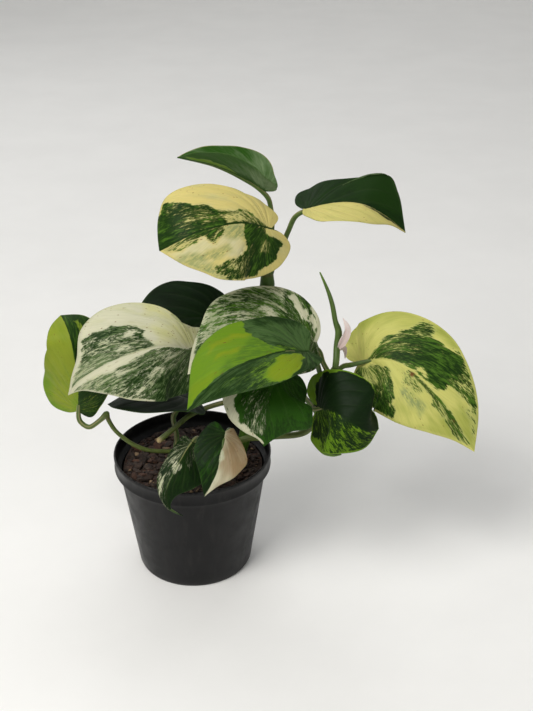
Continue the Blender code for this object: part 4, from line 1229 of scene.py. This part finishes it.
def mottle_group():
    """Even mottling with fine grain, for bark, plastic and the floor."""
    group, given, result = group_of("Mottle and grain", [("Vector", "vector"), ("Scale", "value")],
                                    [("Mottle", "value"), ("Grain", "value"), ("Height", "value")])
    w, g = Wiring(group), given.outputs
    mottle = w.noise(g["Vector"], g["Scale"], 5.0, 0.6)
    grain = w.noise(g["Vector"], w.times(g["Scale"], 7.0), 4.0, 0.65)
    w.plug(result.inputs, Mottle=w.window(mottle, 0.36, 0.64), Grain=grain,
           Height=w.weighted(mottle, 0.6, grain, 0.4))
    return group


def shared_group(name, make):
    """The node group of that name, made when it is first asked for."""
    return bpy.data.node_groups.get(name) or make()


def new_material(name):
    """A new material, the wiring of its tree and the sockets of its shader."""
    made = bpy.data.materials.new(name)
    made.use_nodes = True
    tree = made.node_tree
    return made, Wiring(tree), tree.nodes["Principled BSDF"].inputs


def paint(name):
    """A colour of the plant by its property name, as a shader socket takes it."""
    return (*getattr(bpy.context.scene.pothos_colours, name), 1.0)


def toned(base, factor):
    """The colour made lighter or darker by a factor."""
    return (*(min(1.0, part * factor) for part in base[:3]), 1.0)


def blade_material(name, spec):
    """Marbled leaf skin: satin upper face, duller paler underside, thin light rim."""
    made, w, skin = new_material("marbled_" + name)
    dark, mid, pale, second, veil = (paint(c) for c in spec["colours"])
    grain = w.grain()
    marbling = w.use(shared_group("Leaf marbling", marbling_group), Grain=grain, Pale=w.attribute("pale"),
                     Depth=w.attribute("deep"), Tint=w.attribute("tint"), Veil=w.attribute("veil"),
                     Fleck=spec["fleck"], Fineness=spec.get("fineness", 1.0), Contrast=spec.get("contrast", 6.0),
                     Specks=spec.get("specks", 0.18), Dark_Green=dark, Mid_Green=mid, Pale_Colour=pale,
                     Second_Pale=second, Veil_Colour=veil, Speck_Colour=paint("speck"))
    vein, under = w.attribute("vein"), w.attribute("under")
    veining = w.use(shared_group("Leaf veining", veining_group), Grain=grain, Vein=vein)
    colour_now = marbling["Color"]
    lighter = w.mix(1.0, colour_now, (0.10, 0.12, 0.05, 1), "ADD")
    colour_now = w.lay(colour_now, vein, spec.get("veins", 0.08), lighter)
    colour_now = w.lay(colour_now, veining["Lines"], 0.10, mid)
    colour_now = w.mix(w.attribute("brown"), colour_now, paint("speck"))
    colour_now = w.lay(colour_now, w.attribute("edge"), 0.18, paint("sage"))
    colour_now = w.lay(colour_now, under, spec.get("under", 0.42), paint("underside_and_sheen_green"))
    satin = w.scaled(veining["Satin"], 0.10, 0.48)
    w.plug(skin, Base_Color=colour_now, Roughness=w.scaled(under, 0.16, satin),
           Coat_Weight=w.scaled(under, -0.01, 0.015), Coat_Roughness=0.34, Specular_IOR_Level=0.07,
           Subsurface_Weight=0.06, **GREEN_FLESH, Normal=w.bump(veining["Height"], 0.00012, 0.55))
    return made


def stalk_material(name, green, foot="stem_olive", pale_end="petiole"):
    """A petiole's or stem's skin: fibres, dry sheath edges and a brown or pale foot."""
    made, w, skin = new_material(name)
    fibres = w.use(shared_group("Stem fibres", fibre_group), Grain=w.grain(), Patch_Size=1.0)
    base = paint(green)
    colour_now = w.mix(fibres["Fibres"], toned(base, 0.62), base)
    colour_now = w.lay(colour_now, fibres["Patches"], 0.5, toned(base, 1.5))
    colour_now = w.lay(colour_now, w.attribute("sheath"), 0.7, paint("sheath"))
    colour_now = w.lay(colour_now, w.attribute("foot"), 0.75, paint(foot))
    colour_now = w.mix(w.attribute("tip"), colour_now, paint(pale_end))
    w.plug(skin, Base_Color=colour_now, Roughness=w.scaled(fibres["Patches"], 0.14, 0.40),
           Coat_Weight=0.04, Coat_Roughness=0.35, Specular_IOR_Level=0.25, Subsurface_Weight=0.05, **GREEN_FLESH,
           Normal=w.bump(fibres["Height"], 0.00018, 0.6))
    return made


def bract_material():
    """Dry papery skin with pink veins."""
    made, w, skin = new_material("papery_bract")
    fibres = w.use(shared_group("Stem fibres", fibre_group), Grain=w.grain(), Patch_Size=1.4)
    colour_now = w.mix(w.times(fibres["Fibres"], 0.45), paint("bract"), paint("bract_pink"))
    colour_now = w.lay(colour_now, w.attribute("vein"), 0.5, paint("bract_pink"))
    w.plug(skin, Base_Color=colour_now, Roughness=w.scaled(fibres["Patches"], 0.15, 0.55),
           Subsurface_Weight=0.12, Subsurface_Radius=(1.0, 0.7, 0.6), Subsurface_Scale=0.001,
           Normal=w.bump(fibres["Height"], 0.0002, 0.7))
    return made


def pot_material():
    """Black moulded plastic: faint orange peel, rubbed rim and base, dust in streaks."""
    made, w, skin = new_material("nursery_plastic")
    place = w.place()
    mottle = w.use(shared_group("Mottle and grain", mottle_group), Vector=place, Scale=95.0)
    drips = w.noise(place, 1.0, 4.0, 0.6, 0.2, (160, 160, 26))
    dust = w.times(w.window(drips, 0.52, 0.72), mottle["Mottle"])
    rubbed = w.times(w.attribute("rubbed"), w.window(mottle["Grain"], 0.44, 0.62))
    colour_now = w.mix(w.times(dust, 0.42), paint("pot"), paint("pot_scuff"))
    colour_now = w.lay(colour_now, rubbed, 0.55, paint("pot_scuff"))
    rough = w.scaled(mottle["Mottle"], 0.14, 0.36)
    w.plug(skin, Base_Color=colour_now, Roughness=w.scaled(dust, 0.25, rough),
           Specular_IOR_Level=0.24, Normal=w.bump(mottle["Height"], 0.00012, 0.5))
    return made


def soil_material():
    """Bark mix: each chip has its own brown, fibres and a matt broken surface."""
    made, w, skin = new_material("bark_mix")
    place = w.place()
    mottle = w.use(shared_group("Mottle and grain", mottle_group), Vector=place, Scale=420.0)
    fibres = w.noise(place, 1.0, 4.0, 0.65, 0.0, (300, 900, 900))
    brown = w.mix(w.attribute("red"), paint("bark"), paint("bark_red"))
    brown = w.mix(w.attribute("light"), brown, paint("bark_pale"))
    darker = w.mix(1.0, brown, (0.35, 0.32, 0.30, 1), "MULTIPLY")
    colour_now = w.mix(mottle["Mottle"], darker, brown)
    colour_now = w.lay(colour_now, w.window(fibres, 0.55, 0.75), 0.30, paint("bark_pale"))
    w.plug(skin, Base_Color=colour_now, Roughness=w.scaled(mottle["Grain"], 0.2, 0.72),
           Normal=w.bump(mottle["Height"], 0.0005, 0.8))
    return made


def floor_material():
    """Plain pale studio floor, very faintly mottled."""
    made, w, skin = new_material("studio_floor")
    mottle = w.use(shared_group("Mottle and grain", mottle_group), Vector=w.place(), Scale=9.0)
    base = paint("floor")
    w.plug(skin, Base_Color=w.mix(mottle["Mottle"], toned(base, 0.97), base),
           Roughness=w.scaled(mottle["Grain"], 0.1, 0.6))
    return made


# Pieces


def blade_sizes(scale=1.0):
    """The relief sizes in millimetres, and the counts, from the panel's settings."""
    sizes = bpy.context.scene.pothos_leaf
    lengths = {name: getattr(sizes, name) / MM * scale
               for name in ("thickness", "edge_thickness", "vein_depth", "swell", "groove", "sway", "ripple")}
    return dict(lengths, side_veins=sizes.side_veins, rows=sizes.rows, columns=sizes.columns)


class PothosLeaves(bpy.types.Operator):
    """Grow the open leaves, each with its petiole"""

    bl_idname = "pothos.leaves"
    bl_label = "Leaves"

    def execute(self, context):
        sizes = blade_sizes()
        petiole_skin = stalk_material("petiole_skin", "petiole")
        for number, (name, spec) in enumerate(LEAVES.items()):
            shells = Shells()
            rib = Midrib(spec["midrib"], spec["face"], spec.get("reach", 2.0))
            blade_shell(shells, rib, {-1: spec["left"], 1: spec["right"]}, sizes, spec,
                        context.scene.pothos_leaf.seed + 7 * number)
            route, radii = leaf_stalk(rib, spec["petiole"])
            tube_shell(shells, route, radii, 20, 1.2, stalk_section, stalk_shade,
                       facing=stalk_facing(rib, spec["petiole"]), finish=1)
            shells.piece(name, [blade_material(name, spec), petiole_skin])
        return {"FINISHED"}


def stem_places(route):
    """Where along the route each leaf or cut petiole leaves it."""
    fine, along = fine_route(route)
    found = []
    for start in [spec["petiole"][0] for spec in LEAVES.values()] + [CUT_PETIOLE[0]]:
        gaps = np.linalg.norm(fine - np.array(start, float), axis=1)
        if gaps.min() < NODE_REACH:
            found.append(along[gaps.argmin()])
    return found


class PothosVines(bpy.types.Operator):
    """Grow the three stems with their nodes and rings"""

    bl_idname = "pothos.vines"
    bl_label = "Stems"

    def execute(self, context):
        main_skin = stalk_material("main_stem_skin", "stem_green", foot="node_brown")
        thin_skin = stalk_material("thin_stem_skin", "stem_olive", foot="node_brown")
        for name, (route, radii) in VINES.items():
            nodes = stem_places(route)

            def section(turn, far, left):
                scale = 1 + 0.014 * np.sin(9 * turn + 0.02 * far)
                for place in nodes:
                    ring = RING_DEPTH * bell(far - place + RING_BELOW, RING_WIDTH)
                    scale = scale + NODE_SWELL * bell(far - place, NODE_LENGTH) - ring
                return scale

            def shade(turn, far, left):
                foot = np.zeros_like(far)
                for place in nodes:
                    foot = np.maximum(foot, BROWN_SHARE * bell(far - place + BROWN_BELOW, BROWN_WIDTH))
                return dict(foot=foot, tip=eased((1.2 - left) / 1.2))

            shells = Shells()
            tube_shell(shells, route, radii, 28, 0.9, section, shade, round_end=True)
            shells.piece(name, [main_skin if name == "vine_main" else thin_skin])
        return {"FINISHED"}


class PothosCutPetiole(bpy.types.Operator):
    """Make the old petiole that was cut short and healed over"""

    bl_idname = "pothos.cut_petiole"
    bl_label = "Cut petiole"

    def execute(self, context):
        def shade(turn, far, left):
            return dict(stalk_shade(turn, far, left), tip=eased((5.0 - left) / 4.0))

        shells = Shells()
        tube_shell(shells, CUT_PETIOLE, CUT_PETIOLE_RADII, 20, 1.0, stalk_section, shade, round_end=True)
        shells.piece("cut_petiole", [stalk_material("old_petiole_skin", "stem_olive", pale_end="sheath")])
        return {"FINISHED"}


def round_the_roll(turn, far):
    """How far round the rolled leaf a point lies from its free edge, which winds up it, from 0 to 1."""
    return np.mod(turn - (0.9 + far * 0.055), 2 * np.pi) / (2 * np.pi)


class PothosYoungLeaf(bpy.types.Operator):
    """Make the rolled youngest leaf and its two papery bracts"""

    bl_idname = "pothos.young_leaf"
    bl_label = "Rolled leaf and bracts"

    def execute(self, context):
        def section(turn, far, left):
            place, lap = round_the_roll(turn, far), eased(far / 8) * eased(left / 10)
            return 1 + lap * (0.12 - 0.26 * place * eased((1 - place) / 0.06))

        def shade(turn, far, left):
            edge = bell(round_the_roll(turn, far), 0.05) * eased(far / 8)
            return dict(sheath=edge, tip=eased((14 - left) / 14) * 0.5)

        shells = Shells()
        tube_shell(shells, ROLLED_LEAF, ROLLED_LEAF_RADII, 36, 0.8, section, shade, round_end=True)
        shells.piece("rolled_leaf", [stalk_material("rolled_leaf_skin", "petiole", pale_end="lime")])
        skin = bract_material()
        sizes = dict(blade_sizes(0.5), side_veins=5, rows=48, columns=14)
        for number, (name, spec) in enumerate(BRACTS.items()):
            rib = Midrib(spec["midrib"], BRACT_FACE)
            edge = [(share * rib.length, part * spec["width"]) for share, part in BRACT_OUTLINE]
            half = dict(slope=(BRACT_SLOPE, 0), curl=(BRACT_CURL, BRACT_CURL), edge=edge)
            shells = Shells()
            blade_shell(shells, rib, {-1: half, 1: half}, sizes, None, BRACT_SEED + number)
            shells.piece(name, [skin])
        return {"FINISHED"}


def inner_wall_radius(height):
    """The inner face of the pot's body, which leans out from its floor to under the rim."""
    bottom = BASE_RADIUS - POT_WALL
    top = BODY_TOP_RADIUS - POT_WALL
    return bottom + (top - bottom) * (height - POT_FLOOR) / (POT_HEIGHT - RIM_BAND - POT_FLOOR)


def pot_profile():
    """The pot's wall cut through: radius and height, from the floor inside, over the rim, to the base."""
    rim, top, body = RIM_RADIUS, POT_HEIGHT, BODY_TOP_RADIUS
    foot, base = POT_HEIGHT - RIM_BAND, BASE_RADIUS + BASE_FLARE
    floor = [(0, POT_FLOOR), (12, POT_FLOOR), (inner_wall_radius(POT_FLOOR) - 1.5, POT_FLOOR),
             (inner_wall_radius(3) - 0.5, 2.7), (inner_wall_radius(4.5), 4.5)]
    inside = [(inner_wall_radius(height), height) for height in (*np.linspace(8, foot - 4, 14), foot - 1)]
    lip = [(rim - 2.2, foot + 1.0), (rim - 1.6, foot + 1.8), (rim - 1.5, foot + 5), (rim - 1.4, top - 0.8),
           (rim - 1.25, top - 0.25), (rim - 0.9, top), (rim - 0.5, top - 0.05), (rim - 0.2, top - 0.3),
           (rim, top - 1.0), (rim - 0.05, top - 2.4), (rim - 0.25, top - 2.7), (rim - 0.3, foot + 1.6),
           (rim - 0.1, foot + 1.2), (rim - 0.2, foot + 0.3), (rim - 0.7, foot)]
    outside = [(body + 0.4, foot - 0.2), (body, foot - 0.8),
               *[(body + (base - body) * share, foot - 0.8 - (foot - 3.4) * share)
                 for share in np.linspace(0.06, 0.94, 14)]]
    under = [(base, 2.6), (base - 0.35, 1.6), (base - 0.7, 0.8), (base - 1.05, 0.25), (base - 1.7, 0), (32, 0),
             (31.5, 0.5), (14, 0.5), (0, 0.5)]
    return floor + inside + lip + outside + under


def applied(obj):
    """Turns the object into a plain mesh of what its modifiers give."""
    bpy.context.view_layer.update()
    mesh = bpy.data.meshes.new_from_object(obj.evaluated_get(bpy.context.evaluated_depsgraph_get()))
    obj.modifiers.clear()
    obj.data = mesh


class PothosPot(bpy.types.Operator):
    """Turn the nursery pot with its rim band and drill its drain holes"""

    bl_idname = "pothos.pot"
    bl_label = "Pot"

    def execute(self, context):
        profile = pot_profile()
        mesh = bpy.data.meshes.new("pot_turned")
        mesh.from_pydata([(r * MM, 0, z * MM) for r, z in profile], [(i, i + 1) for i in range(len(profile) - 1)], [])
        obj = bpy.data.objects.new("pot_turned", mesh)
        context.scene.collection.objects.link(obj)
        screw = obj.modifiers.new("Turn", "SCREW")
        screw.steps = screw.render_steps = context.scene.pothos_pot.steps
        screw.use_merge_vertices = True
        screw.merge_threshold = 0.00001
        applied(obj)
        for hole in range(DRAIN_HOLES):
            turn = 2 * math.pi * (hole + 0.5) / DRAIN_HOLES
            bpy.ops.mesh.primitive_cylinder_add(
                vertices=32, radius=DRAIN_HOLE_RADIUS * MM, depth=4 * POT_FLOOR * MM,
                location=(DRAIN_RING_RADIUS * math.cos(turn) * MM, DRAIN_RING_RADIUS * math.sin(turn) * MM,
                          POT_FLOOR / 2 * MM))
            drill = context.object
            cut = obj.modifiers.new("Drain hole", "BOOLEAN")
            cut.operation, cut.solver, cut.object = "DIFFERENCE", "EXACT", drill
            corners = len(obj.data.vertices)
            applied(obj)
            if len(obj.data.vertices) <= corners:
                raise RuntimeError("drain hole %d was not cut" % hole)
            bpy.data.objects.remove(drill)
        places = np.array([v.co for v in obj.data.vertices]) / MM
        radius, height = np.hypot(places[:, 0], places[:, 1]), places[:, 2]
        rubbed = np.maximum(bell(height - POT_HEIGHT, 0.9), bell(height, 1.8) * (radius > 34))
        set_attribute(obj.data, "rubbed", rubbed)
        obj.data.shade_smooth()
        obj.data.set_sharp_from_angle(angle=math.radians(SHARP_PLASTIC))
        dressed(obj, "pot", [pot_material()])
        return {"FINISHED"}


def soil_height(x, y):
    """The lumpy top of the soil, a little crowned in the middle, in millimetres."""
    crown = SOIL_CROWN * (1 - (np.hypot(x, y) / BODY_TOP_RADIUS) ** 2)
    waves = np.sin(0.21 * x + 0.6) * np.cos(0.17 * y) + 0.6 * np.sin(0.33 * x - 0.29 * y + 1.0)
    return SOIL_LEVEL + crown + SOIL_WAVE * waves


def rough_ball(subdivisions):
    """The corners and faces of the ball that every chip or crumb is squeezed from."""
    bm = bmesh.new()
    bmesh.ops.create_icosphere(bm, subdivisions=subdivisions, radius=1.0)
    corners = np.array([v.co for v in bm.verts])
    faces = [[v.index for v in face.verts] for face in bm.faces]
    bm.free()
    return corners, faces


def turned_about(angles):
    """Rotation matrices from three angles, the last about the upright axis."""
    sin, cos = np.sin(angles), np.cos(angles)
    tilt_x = np.array([[1, 0, 0], [0, cos[0], -sin[0]], [0, sin[0], cos[0]]])
    tilt_y = np.array([[cos[1], 0, sin[1]], [0, 1, 0], [-sin[1], 0, cos[1]]])
    spin = np.array([[cos[2], -sin[2], 0], [sin[2], cos[2], 0], [0, 0, 1]])
    return spin @ tilt_y @ tilt_x


def scatter_chips(shells, rng, form, count, half_sizes, edge, sink, reds, lights):
    """Drops count rough chips on the soil, squeezed to random sizes and turned at random. sink is how far,
    in half heights, they stand up from it; reds and lights are the shares of red and of pale ones."""
    corners, faces = form
    for _ in range(count):
        size = half_sizes * np.exp(rng.normal(0, 0.28))
        blocky = np.sign(corners) * np.abs(corners) ** rng.uniform(0.55, 1.0)
        shape = blocky * rng.uniform(0.86, 1.12, (len(corners), 1)) * size
        shape = shape @ turned_about(rng.normal(0, (0.35, 0.35, 2.5))).T
        reach = edge - np.abs(shape[:, :2]).max()
        far, turn = reach * math.sqrt(rng.uniform()), rng.uniform(0, 2 * math.pi)
        x, y = far * math.cos(turn), far * math.sin(turn)
        shape += (x, y, soil_height(x, y) + size[2] * rng.uniform(*sink))
        red = rng.uniform() ** 2 if rng.uniform() < reds else 0.1 * rng.uniform()
        light = rng.uniform(0.5, 1.0) if rng.uniform() < lights else 0.0
        shells.add_faces(shells.add_points(shape, red=red, light=light), faces)


class PothosSoil(bpy.types.Operator):
    """Fill the pot with bark mix"""

    bl_idname = "pothos.soil"
    bl_label = "Soil"

    def execute(self, context):
        sizes = context.scene.pothos_pot
        rng = np.random.default_rng(sizes.seed)
        shoulder, toe, bed = SOIL_LEVEL - SOIL_SHOULDER, POT_FLOOR + 2.5, POT_FLOOR + 0.3
        edge, foot = inner_wall_radius(shoulder) - 0.7, inner_wall_radius(toe) - 2.0
        turn = np.linspace(0, 2 * np.pi, SOIL_STEPS + 1)[:-1]
        rings = np.linspace(0, edge, SOIL_RINGS + 1)[1:]
        radius = np.concatenate([rings, [edge, foot, foot - 1.5]])
        x, y = radius[:, None] * np.cos(turn), radius[:, None] * np.sin(turn)
        z = soil_height(x, y) + rng.normal(0, SOIL_ROUGHNESS, x.shape) - 0.5
        z[-3:] = np.array([shoulder, toe, bed])[:, None]
        shells = Shells()
        ids = shells.add_points(np.stack([x, y, z], -1), red=0.2, light=0.0).reshape(x.shape)
        top, base = (shells.add_points((0, 0, height), red=0.2, light=0.0)[0]
                     for height in (soil_height(0.0, 0.0), bed))
        ids = closed_rings(ids, top, base)
        shells.add_grid(ids, np.zeros((*ids.shape, 2)))
        crumb = np.array([0.9, 0.65, 0.45])
        chip = sizes.chip_size / MM * np.array([1.0, 0.62, 0.3])
        scatter_chips(shells, rng, rough_ball(1), sizes.grains, crumb, edge, sink=(0.0, 0.9), reds=0.5, lights=0.05)
        scatter_chips(shells, rng, rough_ball(2), sizes.chips, chip, edge, sink=(0.1, 1.1), reds=0.45, lights=0.06)
        obj = shells.piece("soil", [soil_material()])
        obj.data.set_sharp_from_angle(angle=math.radians(SHARP_BARK))
        return {"FINISHED"}


def sweep_mesh(name, flat=2.4, bend=0.8, top=1.9, around=96, steps=12):
    """A round studio floor that curves up into a wall, in metres."""
    turns = np.linspace(0, math.pi / 2, steps)
    profile = [(flat + bend * math.sin(turn), bend - bend * math.cos(turn)) for turn in turns] + [(flat + bend, top)]
    angles = np.linspace(0, 2 * math.pi, around, endpoint=False)
    points = [(radius * math.cos(a), radius * math.sin(a), z) for radius, z in profile for a in angles]
    faces = [tuple(range(around))]
    for ring in range(len(profile) - 1):
        low, high = ring * around, (ring + 1) * around
        faces += [(low + i, high + i, high + (i + 1) % around, low + (i + 1) % around) for i in range(around)]
    mesh = bpy.data.meshes.new(name)
    mesh.from_pydata(points, [], faces)
    mesh.polygons.foreach_set("use_smooth", [True] * len(faces))
    return mesh


def softbox(name, place, target, size, watts, tint):
    """A rectangular studio light that looks at the target."""
    light = bpy.data.lights.new(name, "AREA")
    light.shape = "RECTANGLE"
    light.size, light.size_y = size
    light.energy = watts
    light.color = tint
    obj = bpy.data.objects.new(name, light)
    bpy.context.scene.collection.objects.link(obj)
    obj.location = place
    direction = np.array(target, float) - np.array(place, float)
    obj.rotation_euler = (math.acos(-direction[2] / np.linalg.norm(direction)), 0,
                          math.atan2(direction[1], direction[0]) - math.pi / 2)


class PothosStage(bpy.types.Operator):
    """Lay the pale floor and set up the lights and the camera"""

    bl_idname = "pothos.stage"
    bl_label = "Stage"

    def execute(self, context):
        scene, light = context.scene, context.scene.pothos_light
        floor = bpy.data.objects.new("floor", sweep_mesh("floor"))
        scene.collection.objects.link(floor)
        floor.data.materials.append(floor_material())
        for name, (place, target, size, tint) in SOFTBOXES.items():
            softbox(name + "_softbox", place, target, size, getattr(light, name), tint)
        world = bpy.data.worlds.new("studio_room")
        scene.world = world
        world.use_nodes = True
        world.node_tree.nodes["Background"].inputs["Color"].default_value = ROOM_TINT
        world.node_tree.nodes["Background"].inputs["Strength"].default_value = light.room
        camera = bpy.data.cameras.new("camera")
        camera.lens, camera.sensor_width = CAMERA_LENS, CAMERA_SENSOR
        camera.clip_start, camera.clip_end = 0.05, 20.0
        holder = bpy.data.objects.new("camera", camera)
        scene.collection.objects.link(holder)
        holder.location = [part * MM for part in CAMERA_PLACE]
        holder.rotation_euler = (math.radians(CAMERA_TILT), 0, 0)
        scene.camera = holder
        scene.view_settings.view_transform = "Standard"
        return {"FINISHED"}


class PothosPanel(bpy.types.Panel):
    """Every piece of the plant, with its sizes and colours"""

    bl_idname = "VIEW3D_PT_pothos"
    bl_label = "Variegated satin pothos"
    bl_space_type = "VIEW_3D"
    bl_region_type = "UI"
    bl_category = "Pothos"

    def draw(self, context):
        scene = context.scene
        for operator in OPERATORS:
            self.layout.operator(operator.bl_idname)
        for group in (scene.pothos_leaf, scene.pothos_pot, scene.pothos_light, scene.pothos_colours):
            box = self.layout.box()
            for name in group.__annotations__:
                box.prop(group, name)


OPERATORS = (PothosLeaves, PothosVines, PothosCutPetiole, PothosYoungLeaf, PothosPot, PothosSoil, PothosStage)
GROUPS = {"pothos_leaf": PothosLeafSizes, "pothos_pot": PothosPotSizes, "pothos_light": PothosLight,
          "pothos_colours": PothosColours}
CLASSES = (*GROUPS.values(), *OPERATORS, PothosPanel)


def register():
    for kind in CLASSES:
        bpy.utils.register_class(kind)
    for name, kind in GROUPS.items():
        setattr(bpy.types.Scene, name, bpy.props.PointerProperty(type=kind))


def unregister():
    for name in GROUPS:
        delattr(bpy.types.Scene, name)
    for kind in reversed(CLASSES):
        bpy.utils.unregister_class(kind)


def main():
    register()
    for operator in OPERATORS:
        family, name = operator.bl_idname.split(".")
        getattr(getattr(bpy.ops, family), name)()


if __name__ == "__main__":
    main()
